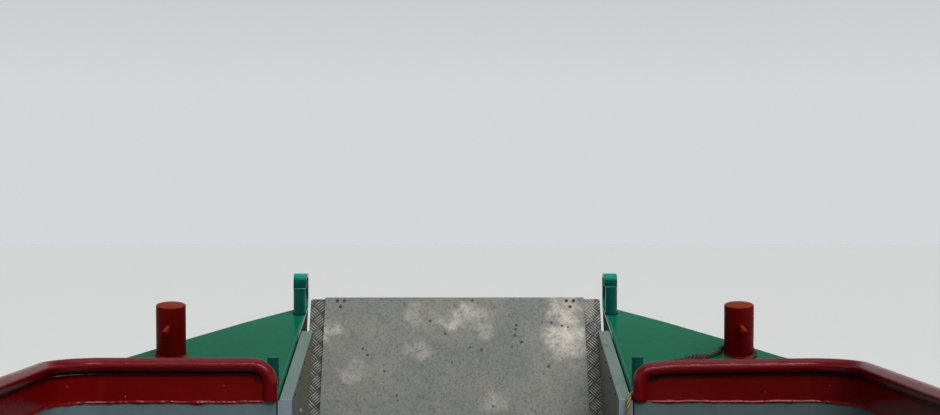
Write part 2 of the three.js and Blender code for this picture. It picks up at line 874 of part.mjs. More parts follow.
function propeller() {
  const hubAft = swimEndY - 210;
  const hub = lathed([[0, 0], [26, 0], [40, 30], [40, 105], [0, 105]], 20)
    .rotateX(-Math.PI / 2).translate(0, hubAft, 0);
  const shaftFore = swimEndY - 60 - seat;
  const shaft = rod(17, shaftFore - hubAft - 90, 16).rotateX(Math.PI / 2)
    .translate(0, (shaftFore + hubAft + 90) / 2, 0);
  const leafHalf = 75;
  const blades = [0, 1, 2].map((i) => {
    const leaf = new THREE.Shape();
    leaf.absellipse(0, propellerRadius - leafHalf, 58, leafHalf, 0, Math.PI * 2);
    return extruded(leaf, 10).translate(0, 0, -5).rotateX(Math.PI / 2).rotateZ(0.6)
      .rotateY((i * Math.PI * 2) / 3).translate(0, hubAft + 60, 0);
  });
  return join(hub, shaft, ...blades).translate(0, 0, shaftZ);
}

part('propeller', propeller(), 'brass');

// Ramp, in a group whose Y runs up the ramp and whose Z points aft, out of its tread face

const ramp = new THREE.Group();
ramp.position.set(0, rampFoot.y, rampFoot.z);
ramp.rotation.x = rampAngle;
boat.add(ramp);

function rampFrame() {
  const top = rampLength;
  const corner = 6;
  const plateShape = outline([
    [-rampHalf, 30],
    [rampHalf, 30],
    ...arc(rampHalf - corner, top - corner, corner, 0, Math.PI / 2, 2),
    ...arc(-(rampHalf - corner), top - corner, corner, Math.PI / 2, Math.PI, 2),
  ]);
  const sheet = extruded(plateShape, rampPlate).translate(0, 0, -rampPlate);
  const ribs = [-rampHalf + 30, -140, 110, rampHalf - 60]
    .map((x) => box(x, x + 30, 60, top - 50, -rampPlate - 40, -rampPlate + 1));
  const bars = [60, 340, 640, top - 80]
    .map((y) => box(-rampHalf + 30, rampHalf - 30, y, y + 30, -rampPlate - 30, -rampPlate + 1));
  const barrelEnds = [
    [-390, -(lugX + lugHalf + seat)],
    [-(lugX - lugHalf - seat), lugX - lugHalf - seat],
    [lugX + lugHalf + seat, 390],
  ];
  const barrels = barrelEnds.map(([x0, x1]) => join(
    rod(rampPin.radius, x1 - x0, 20).rotateX(Math.PI / 2).rotateZ(Math.PI / 2)
      .translate((x0 + x1) / 2, rampPin.along, rampPin.out),
    box(x0, x1, rampPin.along, 80, rampPin.out - 8, -rampPlate + 1),
  ));
  const brackets = [-1, 1].map((side) => box(
    side * 337 - 24,
    side * 337 + 24,
    top - 60,
    top + 3,
    -rampPlate - 8,
    -rampPlate + 1,
  ));
  return join(sheet, ...ribs, ...bars, ...barrels, ...brackets);
}

part('ramp_plate', rampFrame(), 'tread', ramp);
part('ramp_panel', box(-panelHalf, panelHalf, 45, rampLength, seat, seat + panelPlate), 'panel', ramp);

// Ropes. A route's rows are x, distance ahead of the coaming and height of the centreline

const ropeRadius = 6;
const ropeRings = 80;
const coil = { radius: 72, half: 30, height: 36 };

function ropeTube(route) {
  const corners = route.map(([x, y, z]) => new THREE.Vector3(x, bowY + y, z));
  return tube(new THREE.CatmullRomCurve3(corners).getSpacedPoints(ropeRings), ropeRadius, 8);
}

function coilRing() {
  const [inner, outer] = [coil.radius - coil.half, coil.radius + coil.half];
  return lathed([[inner, 0], [outer, 0], [outer, coil.height], [inner, coil.height], [inner, 0]], 28);
}

function onDeckRope([x, y, lift]) {
  const slope = Math.atan(deckRise);
  return [x, y - lift * Math.sin(slope), deckHeight(y) + lift * Math.cos(slope)];
}

// The brown rope goes round the starboard bollard and off to a coil on the deck, its rows' last
// column a height over the deck
const brownCoil = { x: 610, y: 116 };
const brownRoute = [
  [672, 277, 6.4],
  [705, 265, 6.4],
  [742, 260, 6.4],
  [776, 266, 6.4],
  [803, 284, 6.4],
  [822, 308, 6.4],
  [829.8, 333.7, 6.4],
  [831.6, 360.4, 6.4],
  [816.4, 385.5, 6.4],
  [792, 396.9, 6.4],
  [765.6, 394, 6.4],
  [743.7, 376.8, 6.4],
  [735.2, 352.1, 6.4],
  [720, 330, 6.4],
  [700, 312, 6.4],
  [678, 297, 6.4],
  [652, 291, 6.4],
  [626, 283, 6.4],
  [600, 267, 6.4],
  [562, 232, 6.4],
  [534, 199, 6.4],
  [515, 171, 6.4],
];
part('brown_line', ropeTube(brownRoute.map(onDeckRope)), 'brownRope');
part('brown_line_coil', onDeck(coilRing(), brownCoil.x, brownCoil.y), 'brownRope');

// The gold rope lies on the deck behind the rail, goes round its foot and down to a coil
const goldCoil = { x: 620, y: -132 };
const goldRoute = [
  onDeckRope([550, 18, 6.4]),
  onDeckRope([532, 21.5, 6.4]),
  onDeckRope([514, 25, 6.4]),
  onDeckRope([497, 27.5, 6.4]),
  onDeckRope([481, 27.9, 6.5]),
  [467.5, 26.5, 1245],
  [456.4, 22.9, 1244.6],
  [449, 15.9, 1243.6],
  [445.5, 9, 1242.4],
  [442.4, -2.2, 1239],
  [439.6, -10.4, 1230.2],
  [438, -13.6, 1218],
  [437.4, -14, 1200],
  [437.5, -13, 1150],
  [438, -10, 1000],
  [439, -9, 850],
  [440, -10, 720],
  [443, -17, 660],
  [453, -36, 632],
  [478, -47, 626.4],
  [520, -38, 626.4],
  [568, -25, 626.4],
  [620, -22.5, 626.4],
];
part('gold_line', ropeTube(goldRoute), 'goldRope');
const goldRing = coilRing().translate(goldCoil.x, bowY + goldCoil.y, floorZ + seat);
part('gold_line_coil', goldRing, 'goldRope');

export default boat;
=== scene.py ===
import json
import math

import bmesh
import bpy
from mathutils import Matrix, Vector, noise

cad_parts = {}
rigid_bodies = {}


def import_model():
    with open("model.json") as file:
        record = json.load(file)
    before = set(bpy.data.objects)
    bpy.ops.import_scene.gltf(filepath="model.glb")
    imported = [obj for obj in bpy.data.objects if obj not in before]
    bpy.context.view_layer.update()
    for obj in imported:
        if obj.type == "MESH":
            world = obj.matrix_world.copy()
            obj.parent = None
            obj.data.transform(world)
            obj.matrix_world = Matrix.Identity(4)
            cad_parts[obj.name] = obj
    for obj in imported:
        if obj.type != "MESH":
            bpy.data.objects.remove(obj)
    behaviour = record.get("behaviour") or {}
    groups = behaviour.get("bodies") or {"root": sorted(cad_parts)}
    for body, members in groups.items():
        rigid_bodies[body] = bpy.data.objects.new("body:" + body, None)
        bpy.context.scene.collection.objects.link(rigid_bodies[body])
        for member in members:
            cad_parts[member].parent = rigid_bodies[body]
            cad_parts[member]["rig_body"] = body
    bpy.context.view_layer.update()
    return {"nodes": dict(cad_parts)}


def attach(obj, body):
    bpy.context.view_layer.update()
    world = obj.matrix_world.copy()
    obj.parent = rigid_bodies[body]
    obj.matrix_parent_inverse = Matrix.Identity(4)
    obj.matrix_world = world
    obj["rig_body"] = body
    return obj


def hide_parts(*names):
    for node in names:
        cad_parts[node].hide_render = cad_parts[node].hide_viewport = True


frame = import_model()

scene = bpy.context.scene
cadNodes = frame["nodes"]
print("stage: frame loaded,", len(cadNodes), "nodes")

# Camera, at the photograph's place over the well, looking forward

camera = {
    "place": (0.0, 2.183, 1.704),
    "lens": 57.45,    # mm, on a sensor 36 mm wide
    "pitch": 0.23,    # degrees up
    "yaw": 0.554,     # degrees to starboard
}

eyeData = bpy.data.cameras.new("eye")
eyeData.lens = camera["lens"]
eyeData.sensor_width = 36.0
eyeData.clip_start, eyeData.clip_end = 0.05, 200.0
eye = bpy.data.objects.new("eye", eyeData)
eye.location = camera["place"]
eye.rotation_euler = (math.radians(90 + camera["pitch"]), 0, math.radians(-camera["yaw"]))
scene.collection.objects.link(eye)
scene.camera = eye


# Colours and node helpers

def rgb(r, g, b):
    linear = [(c / 255 / 12.92) if c < 11 else ((c / 255 + 0.055) / 1.055) ** 2.4 for c in (r, g, b)]
    return (*linear, 1.0)


def tones(light, dark, scale):
    return {"light": rgb(*light), "dark": rgb(*dark), "scale": scale}


# Rows by name, with every triple in them taken as a colour
def table(columns, rows):
    return {name: {column: rgb(*cell) if isinstance(cell, tuple) and len(cell) == 3 else cell
                   for column, cell in zip(columns.split(), row)} for name, row in rows.items()}


# What a node gives out: it can be reckoned with, and it knows the tree it is in
class Value:
    def __init__(self, socket):
        self.socket = socket
        self.tree = socket.id_data

    def __add__(self, other):
        return calc("ADD", self, other)

    def __sub__(self, other):
        return calc("SUBTRACT", self, other)

    def __rsub__(self, other):
        return calc("SUBTRACT", other, self)

    def __mul__(self, other):
        return calc("MULTIPLY", self, other)

    def __abs__(self):
        return calc("ABSOLUTE", self)

    def siblings(self):
        return [Value(socket) for socket in self.socket.node.outputs]


def setInputs(node, inputs):
    for key, value in inputs.items():
        if isinstance(value, Value):
            value.tree.links.new(value.socket, node.inputs[key])
        else:
            node.inputs[key].default_value = value


# An output of a new node, in the tree of the values it takes in
def made(kind, inputs, out=0, **settings):
    tree = next(value.tree for value in inputs.values() if isinstance(value, Value))
    result = source(tree, kind, out, **settings)
    setInputs(result.socket.node, inputs)
    return result


def source(tree, kind, out, **settings):
    node = tree.nodes.new("ShaderNode" + kind)
    for key, value in settings.items():
        setattr(node, key, value)
    return Value(node.outputs[out])


def calc(operation, first, second=0.0):
    return made("Math", {0: first, 1: second}, operation=operation)


def larger(first, second):
    return calc("MAXIMUM", first, second)


def ranged(value, low, high, toLow=0.0, toHigh=1.0, smooth=False):
    inputs = {"Value": value, "From Min": low, "From Max": high, "To Min": toLow, "To Max": toHigh}
    return made("MapRange", inputs, interpolation_type="SMOOTHSTEP" if smooth else "LINEAR")


def mixed(share, first, second):
    return made("Mix", {0: share, 6: first, 7: second}, 2, data_type="RGBA")


def noiseOf(place, scale, detail=4.0, roughness=0.55):
    return made("TexNoise", {"Vector": place, "Scale": scale, "Detail": detail, "Roughness": roughness})


def stretched(place, scale, turn=(0, 0, 0)):
    return made("Mapping", {"Vector": place, "Scale": scale, "Rotation": turn})


def axesOf(vector):
    return made("SeparateXYZ", {0: vector}).siblings()


def facingOf(place):
    return axesOf(source(place.tree, "TexCoord", "Normal"))


def distance(place, point):
    return made("VectorMath", {0: place, 1: point}, "Value", operation="DISTANCE")


# How far a place is from a point in x and z, where half width and half height count as one
def ovalDistance(place, x, z, wide, tall):
    inputs = {"Vector": place, "Location": (-x / wide, 0, -z / tall), "Scale": (1 / wide, 0, 1 / tall)}
    return made("VectorMath", {0: made("Mapping", inputs)}, "Value", operation="LENGTH")


# A colour ramp with stops as (position, colour) in rising order
def rampOf(value, rows):
    shades = made("ValToRGB", {0: value})
    stops = shades.socket.node.color_ramp.elements
    for position, _ in rows[1:-1]:
        stops.new(position)
    for stop, (position, color) in zip(stops, rows):
        stop.position, stop.color = position, color
    return shades


# Shared effects

def mottle(place, scale, light, dark, contrast):
    fine = noiseOf(place, scale * 9.0, 5.0, 0.6)
    mask = ranged(noiseOf(place, scale, 3.0, 0.5) * 0.55 + fine * 0.45, 0.5 - contrast, contrast + 0.5)
    return {"Color": mixed(mask, dark, light)}


def edgeWear(place, radius, scale, amount):
    rounded = made("Bevel", {"Radius": radius}, samples=4)
    flat = source(place.tree, "NewGeometry", "Normal")
    dot = made("VectorMath", {0: rounded, 1: flat}, "Value", operation="DOT_PRODUCT")
    limit = 0.78 - amount * 0.5
    return {"Mask": ranged(dot, 0.995, 0.8) * ranged(noiseOf(place, scale, 6.0, 0.65), limit, limit + 0.05)}


def speckle(place, scale, size, share):
    cell, color = made("TexVoronoi", {"Vector": place, "Scale": scale}).siblings()[:2]
    pick = made("SeparateColor", {0: color})
    size = size * ranged(pick, 0.0, share, 0.4, 1.0)
    return {"Mask": ranged(cell, size, size * 0.5) * calc("LESS_THAN", pick, share)}


def streaks(place, scale, amount):
    limit = 0.8 - amount * 0.5
    lines = noiseOf(stretched(place, (1.0, 1.0, 0.12)), scale, 6.0, 0.7)
    return {"Mask": ranged(lines, limit, limit + 0.25)}


def paintFilm(place, scale):
    peel = noiseOf(place, scale * 6.0, 2.0, 0.5)
    brush = noiseOf(stretched(place, (0.25, 1.0, 1.0)), scale, 4.0, 0.6)
    return {"Height": peel * 0.35 + brush * 0.65, "Gloss": noiseOf(place, scale * 0.15, 5.0)}


def effect(make, **inputs):
    group = bpy.data.node_groups.new(make.__name__, "ShaderNodeTree")
    group.interface.new_socket("Vector", in_out="INPUT", socket_type="NodeSocketVector")
    for label, value in inputs.items():
        kind = "NodeSocketColor" if isinstance(value, tuple) else "NodeSocketFloat"
        group.interface.new_socket(label, in_out="INPUT", socket_type=kind).default_value = value
    given = group.nodes.new("NodeGroupInput").outputs
    results = make(*(Value(given[label]) for label in ("Vector", *inputs)))
    for label in results:
        kind = "NodeSocketColor" if label == "Color" else "NodeSocketFloat"
        group.interface.new_socket(label, in_out="OUTPUT", socket_type=kind)
    setInputs(group.nodes.new("NodeGroupOutput"), results)
    return group


effects = {
    "mottle": effect(mottle, Scale=8.0, Light=(1, 1, 1, 1), Dark=(0, 0, 0, 1), Contrast=0.3),
    "edgeWear": effect(edgeWear, Radius=0.003, Scale=90.0, Amount=0.5),
    "speckle": effect(speckle, Scale=120.0, Size=0.2, Share=0.1),
    "streaks": effect(streaks, Scale=12.0, Amount=0.5),
    "film": effect(paintFilm, Scale=60.0),
}


def use(name, place, out="Mask", **inputs):
    return made("Group", {"Vector": place, **inputs}, out, node_tree=effects[name])


def mottled(place, scale, light, dark, **more):
    return use("mottle", place, "Color", Scale=scale, Light=light, Dark=dark, **more)


def tonesOf(place, spec):
    return mottled(place, spec["scale"], spec["light"], spec["dark"])


# Paints: light and dark tones, what shows at worn edges, dirt, roughness from and to, fineness of the
# mottling, wear, specks, thickness of the film, shine

paints = table("slot light dark worn dirt gloss scale wear specks film shine", {
    "deckPaint": ("deck_green", (0, 92, 64), (0, 80, 55), (24, 118, 94), (6, 40, 30),
                  (0.16, 0.26), 2.6, 0.2, 0.06, 0.2, 0.13),
    "hoopPaint": ("teal_paint", (0, 84, 72), (0, 64, 55), (10, 112, 98), (2, 34, 30),
                  (0.16, 0.26), 9.0, 0.1, 0.04, 0.5, 0.12),
    # the hoop's weld seam, lighter as a painted highlight
    "seamGlintPaint": ("teal_paint", (66, 140, 122), (26, 108, 94), (120, 160, 148), (2, 34, 30),
                  (0.2, 0.3), 60.0, 0.6, 0.04, 0.5, 0.3),
    # a dark ring at the hoops' feet: painted contact shade
    "footShadePaint": ("teal_paint", (0, 30, 24), (0, 20, 16), (10, 60, 50), (2, 16, 12),
                  (0.6, 0.7), 60.0, 0.1, 0.02, 0.5, 0.05),
    "pegPaint": ("teal_paint", (0, 66, 57), (0, 52, 44), (20, 84, 74), (2, 30, 26),
                  (0.25, 0.36), 9.0, 0.1, 0.04, 0.5, 0.06),
    "postPaint": ("post_red", (92, 6, 5), (74, 2, 2), (150, 62, 54), (36, 3, 3),
                  (0.36, 0.5), 11.0, 0.3, 0.05, 0.5, 0.04),
    "railPaint": ("red_paint", (106, 1, 8), (88, 0, 4), (130, 70, 62), (52, 0, 2),
                  (0.13, 0.22), 7.0, 0.1, 0.03, 4.0, 0.33),
    "edgePaint": ("red_paint", (122, 4, 6), (98, 2, 4), (170, 110, 104), (52, 0, 2),
                  (0.2, 0.3), 20.0, 0.1, 0.03, 1.5, 0.32),
    # the welds under the rail, painted dark as painted shade of the groove
    "grooveShadePaint": ("red_paint", (70, 2, 8), (54, 0, 6), (60, 6, 8), (14, 0, 2),
                  (0.5, 0.6), 20.0, 0.0, 0.03, 0.5, 0.1),
    "greyPaint": ("pale_grey", (100, 118, 120), (82, 99, 101), (72, 74, 70), (52, 58, 54),
                  (0.3, 0.42), 5.0, 0.3, 0.08, 0.4, 0.3),
    "hullPaint": ("hull_black", (34, 36, 38), (18, 19, 21), (92, 76, 64), (74, 70, 62),
                  (0.4, 0.62), 2.2, 0.6, 0.1, 0.8, 0.4),
    "roofPaint": ("roof_grey", (138, 144, 136), (116, 122, 114), (100, 98, 90), (82, 82, 70),
                  (0.55, 0.75), 3.0, 0.3, 0.12, 1.0, 0.5),
    "cabinPlain": ("cabin_green", (12, 50, 41), (9, 40, 33), (88, 104, 92), (34, 42, 34),
                  (0.16, 0.28), 1.6, 0.35, 0.04, 0.5, 0.5),
    "creamPaint": ("cabin_green", (206, 190, 140), (188, 170, 120), (120, 104, 74), (120, 108, 78),
                  (0.2, 0.32), 8.0, 0.35, 0.05, 0.5, 0.5),
})
# Some change along the boat from a Y to a Y, or on faces that look up, from how much to how much. The lighter
# tops of the hoops and posts are painted light from above
paints["deckPaint"]["far"] = {**tones((2, 112, 90), (0, 98, 78), 2.6), "y": (6.35, 7.3)}
paints["hoopPaint"]["top"] = {**tones((8, 130, 118), (0, 112, 100), 30.0), "upward": (0.1, 0.5)}
paints["postPaint"]["top"] = {**tones((122, 46, 24), (98, 32, 14), 30.0), "upward": (0.75, 0.93)}
# The rail's faces that look down darken: painted shade
paints["railPaint"]["under"] = rgb(34, 0, 3)
paints["greyPaint"]["black outside"] = True
wear = {"radius": 0.003, "scale": 80.0}    # chips along the edges, m


def newMaterial(name):
    material = bpy.data.materials.new(name)
    material.use_nodes = True
    tree = material.node_tree
    return material, tree.nodes["Principled BSDF"], source(tree, "TexCoord", "Object")


def dress(shader, color, rough, height, strength, depth, shine=0.5):
    bump = made("Bump", {"Height": height, "Strength": strength, "Distance": depth})
    setInputs(shader, {"Base Color": color, "Roughness": rough, "Normal": bump, "Specular IOR Level": shine})


def finishPaint(shader, place, spec, color):
    worn = use("edgeWear", place, Radius=wear["radius"], Scale=wear["scale"], Amount=spec["wear"])
    specks = use("speckle", place, Scale=90.0, Size=0.22, Share=spec["specks"])
    dirt = use("streaks", place, Scale=14.0, Amount=0.35)
    film, gloss = use("film", place, "Height", Scale=45.0).siblings()
    color = mixed(specks * 0.7, mixed(dirt * 0.25, color, spec["dirt"]), spec["dirt"])
    rough = worn * 0.25 + (dirt * 0.08 + ranged(gloss, 0.3, 0.7, *spec["gloss"]))
    height = film * spec["film"] - worn * 0.8 - specks * 0.5
    dress(shader, mixed(worn, color, spec["worn"]), rough, height, 0.35, 0.0012, spec["shine"])


# Hull black on the outer faces low down, where the coaming and the well's floor come out at the bow's corner
def blackOutside(place, color):
    facing, at = facingOf(place), axesOf(place)
    outward = larger(facing[1], facing[0] * at[0])
    mask = ranged(larger(outward, facing[2] * -1.0), 0.2, 0.3) * ranged(at[2], 1.0, 0.98)
    return mixed(mask, color, tonesOf(place, paints["hullPaint"]))


def paint(name):
    spec = paints[name]
    material, shader, place = newMaterial(name)
    color = tonesOf(place, spec)
    if "far" in spec:
        ahead = ranged(axesOf(place)[1], *spec["far"]["y"], smooth=True)
        color = mixed(ahead, color, tonesOf(place, spec["far"]))
    # Painted light: faces that look up take the lighter top tones
    if "top" in spec:
        color = mixed(ranged(facingOf(place)[2], *spec["top"]["upward"]), color, tonesOf(place, spec["top"]))
    # Painted shade: faces that look down darken towards the under colour
    if "under" in spec:
        color = mixed(ranged(facingOf(place)[2], -0.2, -0.75, 0.0, 0.9, smooth=True), color, spec["under"])
    if "black outside" in spec:
        color = blackOutside(place, color)
    finishPaint(shader, place, spec, color)
    return material


finishes = {name: (paint(name), spec["slot"]) for name, spec in paints.items()}
print("stage: paints mixed")


# Shapes

def finishMesh(form, name, sharp=35):
    bmesh.ops.recalc_face_normals(form, faces=form.faces)
    mesh = bpy.data.meshes.new(name)
    form.to_mesh(mesh)
    form.free()
    return smoothed(mesh, sharp)


def smoothed(mesh, sharp=35):
    mesh.polygons.foreach_set("use_smooth", [True] * len(mesh.polygons))
    mesh.set_sharp_from_angle(angle=math.radians(sharp))
    mesh.update()
    return mesh


def piece(name, mesh, finish, replaced=(), body="hull"):
    thing = bpy.data.objects.new(name, mesh)
    scene.collection.objects.link(thing)
    material, usual = finishes[finish]
    mesh.materials.append(material)
    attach(thing, body)
    if replaced:
        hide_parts(*replaced)
    return thing


def moved(x, y, z):
    return Matrix.Translation((x, y, z))


def turned(degrees, axis):
    return Matrix.Rotation(math.radians(degrees), 4, axis)


def edgesOf(verts):
    return {e for v in verts for e in v.link_edges}


def newVerts(form, before):
    return [v for v in form.verts if v not in before]


def bevelEdges(form, edges, width, segments=2, least=0):
    edges = [e for e in edges if e.calc_face_angle(0) >= math.radians(least)]
    bmesh.ops.bevel(form, geom=edges, offset=width, offset_type="OFFSET", affect="EDGES", segments=segments,
                    profile=0.5, clamp_overlap=True, material=-1)


def addBlock(form, low, high, place=Matrix(), bevel=0.0, segments=2):
    low, high = Vector(low), Vector(high)
    size = Matrix.Diagonal((*(high - low), 1.0))
    cube = bmesh.ops.create_cube(form, size=1.0, matrix=place @ moved(*((low + high) / 2)) @ size)
    if bevel:
        bevelEdges(form, edgesOf(cube["verts"]), bevel, segments)


# A round bar that stands on the origin of place, along its z
def addRod(form, place, radius, height, sides=32, bevel=0.0, top=None, segments=2):
    bar = bmesh.ops.create_cone(form, cap_ends=True, cap_tris=False, segments=sides, radius1=radius,
                                radius2=radius if top is None else top, depth=height,
                                matrix=place @ moved(0, 0, height / 2))
    if bevel:
        bevelEdges(form, edgesOf(bar["verts"]), bevel, segments, 50)


# Turns verts and edges about z, all the way round
def spun(form, geom, sides):
    bmesh.ops.spin(form, geom=geom, cent=(0, 0, 0), axis=(0, 0, 1), dvec=(0, 0, 0), angle=2 * math.pi,
                   steps=sides, use_merge=True, use_duplicate=False)


# A profile of (radius, height) turned about the z of place
def addTurned(form, profile, place=Matrix(), sides=48):
    before = set(form.verts)
    start = [form.verts.new((r, 0, z)) for r, z in profile]
    spun(form, start + [form.edges.new(pair) for pair in zip(start, start[1:])], sides)
    bmesh.ops.transform(form, matrix=place, verts=newVerts(form, before))
    bmesh.ops.remove_doubles(form, verts=newVerts(form, before), dist=1e-6)


def turnedMesh(name, profile, place, sides):
    form = bmesh.new()
    addTurned(form, profile, place, sides)
    return finishMesh(form, name, 50)


# A ring of weld or paint about the z of place
def ringOn(form, place, radius, thick, sides=40, lump=0.0):
    section = moved(radius, 0, 0) @ turned(90, "X")
    circle = bmesh.ops.create_circle(form, segments=10, radius=thick, matrix=section)["verts"]
    before = set(form.verts) - set(circle)
    spun(form, circle + list(edgesOf(circle)), sides)
    verts = newVerts(form, before)
    for v in verts:
        v.co *= 1.0 + lump * noise.noise(v.co * 120)
    bmesh.ops.transform(form, matrix=place, verts=verts)


# Corners (x, y, z, radius) as a line of points, with an arc at each corner that has a radius
def bent(corners, steps=14):
    line = []
    for i, (x, y, z, *turn) in enumerate(corners):
        here = Vector((x, y, z))
        if not turn or i in (0, len(corners) - 1):
            line.append(here)
            continue
        back = (Vector(corners[i - 1][:3]) - here).normalized()
        on = (Vector(corners[i + 1][:3]) - here).normalized()
        half = back.angle(on) / 2
        reach = turn[0] / math.tan(half)
        centre = here + (back + on).normalized() * (turn[0] / math.sin(half))
        start, end = here + back * reach - centre, here + on * reach - centre
        line.extend(centre + start.slerp(end, k / steps).normalized() * turn[0] for k in range(steps + 1))
    return line


def divided(line, step):
    dense = []
    for a, b in zip(line, line[1:]):
        count = max(1, round((b - a).length / step))
        dense.extend(a.lerp(b, k / count) for k in range(count))
    return dense + [line[-1]]


def tubeMesh(name, points, radius, sides=32, swell=None):
    curve = bpy.data.curves.new(name, "CURVE")
    curve.dimensions = "3D"
    spline = curve.splines.new("POLY")
    spline.points.add(len(points) - 1)
    for point, knot in zip(points, spline.points):
        knot.co = (*point, 1.0)
        knot.radius = swell(point) if swell else 1.0
    curve.bevel_depth = radius
    curve.bevel_resolution = sides // 4 - 1
    curve.use_fill_caps = True
    holder = bpy.data.objects.new(name, curve)
    mesh = bpy.data.meshes.new_from_object(holder)
    bpy.data.objects.remove(holder)
    bpy.data.curves.remove(curve)
    form = bmesh.new()
    form.from_mesh(mesh)
    bpy.data.meshes.remove(mesh)
    bmesh.ops.remove_doubles(form, verts=form.verts, dist=1e-6)
    return finishMesh(form, name)


# A rounded plate in the x and y of place, thick along its z, open in the middle where it has a rim
def addPlaque(form, place, width, height, corner, thick, rim=None, soft=0.0, steps=8):
    before = set(form.verts)
    size = Matrix.Diagonal((width, height, thick, 1))
    edges = edgesOf(bmesh.ops.create_cube(form, size=1.0, matrix=moved(0, 0, thick / 2) @ size)["verts"])
    bevelEdges(form, [e for e in edges if abs(e.verts[0].co.z - e.verts[1].co.z) > thick / 2], corner, steps)
    form.normal_update()
    if rim:
        faces = list({f for v in newVerts(form, before) for f in v.link_faces if abs(f.normal.z) > 0.9})
        bmesh.ops.inset_region(form, faces=faces, thickness=rim, use_even_offset=True)
        bmesh.ops.delete(form, geom=faces, context="FACES_ONLY")
        holes = [e for e in edgesOf(newVerts(form, before)) if e.is_boundary]
        bmesh.ops.bridge_loops(form, edges=holes)
    if soft:
        form.normal_update()
        bevelEdges(form, edgesOf(newVerts(form, before)), soft, 2, 60)
    bmesh.ops.transform(form, matrix=place, verts=newVerts(form, before))


# A plate cut to an outline in the x and y of place
def addPlate(form, outline, thick, place=Matrix(), bevel=0.0):
    before = set(form.verts)
    face = form.faces.new([form.verts.new((x, y, 0)) for x, y in outline])
    raised = bmesh.ops.extrude_face_region(form, geom=[face])["geom"]
    upper = [v for v in raised if isinstance(v, bmesh.types.BMVert)]
    bmesh.ops.translate(form, vec=(0, 0, thick), verts=upper)
    verts = newVerts(form, before)
    bmesh.ops.recalc_face_normals(form, faces=list({f for v in verts for f in v.link_faces}))
    form.normal_update()
    if bevel:
        bevelEdges(form, edgesOf(verts), bevel, 2, 40)
    bmesh.ops.transform(form, matrix=place, verts=newVerts(form, before))


# A CAD node's own solid with its edges rounded
def softened(node, width, finish, segments=2):
    form = bmesh.new()
    form.from_mesh(cadNodes[node].data)
    bmesh.ops.remove_doubles(form, verts=form.verts, dist=1e-5)
    bmesh.ops.dissolve_limit(form, angle_limit=math.radians(0.5), verts=form.verts, edges=form.edges)
    mesh = bpy.data.meshes.new(node + "_steel")
    form.to_mesh(mesh)
    form.free()
    steel = piece(mesh.name, smoothed(mesh), finish, [node], cadNodes[node]["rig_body"])
    rounding = steel.modifiers.new("rounding", "BEVEL")
    rounding.width = width
    rounding.segments = segments
    rounding.limit_method = "ANGLE"
    rounding.angle_limit = math.radians(35)
    rounding.harden_normals = True
    rounding.use_clamp_overlap = True


def mirrored(mesh):
    copy = mesh.copy()
    copy.transform(Matrix.Diagonal((-1, 1, 1, 1)))
    form = bmesh.new()
    form.from_mesh(copy)
    bpy.data.meshes.remove(copy)
    return finishMesh(form, mesh.name + "_left")


def onSide(mesh, side):
    if side == "right":
        return mesh
    port = mirrored(mesh)
    bpy.data.meshes.remove(mesh)
    return port


# Both sides of the boat from the starboard one's mesh
def bothSides(name, mesh, finish, node=None, bodies=("hull", "hull")):
    meshes = {"right": mesh, "left": mirrored(mesh)}
    for (side, one), body in zip(meshes.items(), bodies):
        piece(f"{name}_{side}", one, finish, [f"{node}_{side}"] if node else (), body)


# Deck of the bow, which rises ahead of the coaming

bow = {"coamingY": 6.0, "deckZ": 1.232, "rise": 0.2365}


def deckHeight(ahead):
    return bow["deckZ"] + ahead * bow["rise"]


# The place on the deck at x and ahead, its z square to the deck
def deckPlace(x, ahead, lift=0.0003):
    slope = Matrix.Rotation(math.atan(bow["rise"]), 4, "X")
    return moved(x, bow["coamingY"] + ahead, deckHeight(ahead) + lift) @ slope


# Ropes, laid right-handed from three strands. Routes are in mm: x and ahead on the deck, or with a height

ropes = {
    "diameter": 0.012,
    "strandTurn": 0.047,   # length of one turn of a strand
    "strand": 0.25,        # a strand's radius and its distance from the middle, as shares of the diameter
    "seenStep": 0.0013,
    "coilStep": 0.0029,
    "coilRadius": 0.096,   # outermost turn
    "coilTurns": 4,        # from the outermost turn to the innermost
    "knotsPerTurn": 24,
    "layers": 3,
    "lift": 0.0064,        # from the deck to a rope's middle
    # a coil's entry is its radius and angle there, and which way it turns
    "brown": {
        "coil": (0.610, 0.116), "entry": (0.1098, 150, 1),
        "onDeck": [(672, 277), (705, 265), (742, 260), (776, 266), (803, 284), (822, 308), (829.8, 333.7),
                   (831.6, 360.4), (816.4, 385.5), (792, 396.9), (765.6, 394), (743.7, 376.8), (735.2, 352.1),
                   (720, 330), (700, 312), (678, 297), (652, 291), (626, 283), (600, 267), (562, 232),
                   (534, 199),
                   (515, 171)],
        "beyond": [],
    },
    "gold": {
        "coil": (0.620, 5.868, 0.62), "entry": (0.1095, 90, -1),
        "onDeck": [(550, 18), (532, 21.5), (514, 25), (497, 27.5)],
        "beyond": [(481, 26.4, 1244.9), (467.5, 26.5, 1245), (456.4, 22.9, 1243.6), (449, 15.9, 1241.9),
                   (445.5, 9, 1240.4), (442.4, -2.2, 1237.8), (439.6, -10.4, 1229.8), (438, -13.6, 1218),
                   (437.4, -14, 1200), (437.5, -13, 1150), (438, -10, 1000), (439, -9, 850), (440, -10, 720),
                   (443, -17, 660), (453, -36, 632), (478, -47, 626.4), (520, -38, 626.4), (568, -25, 626.4),
                   (620, -22.5, 626.4)],
    },
    # x and ahead of the splice's ends in mm
    "splice": {"from": (690, 304), "to": (628, 283), "lift": 0.002, "thick": 0.0195, "turn": 0.034,
               "steps": 44},
    "whipping": {"turns": 9, "width": 0.0016, "inset": 0.002},
}


def onDeck(x, ahead):
    return deckPlace(x / 1000, ahead / 1000) @ Vector((0, 0, ropes["lift"] - 0.0003))


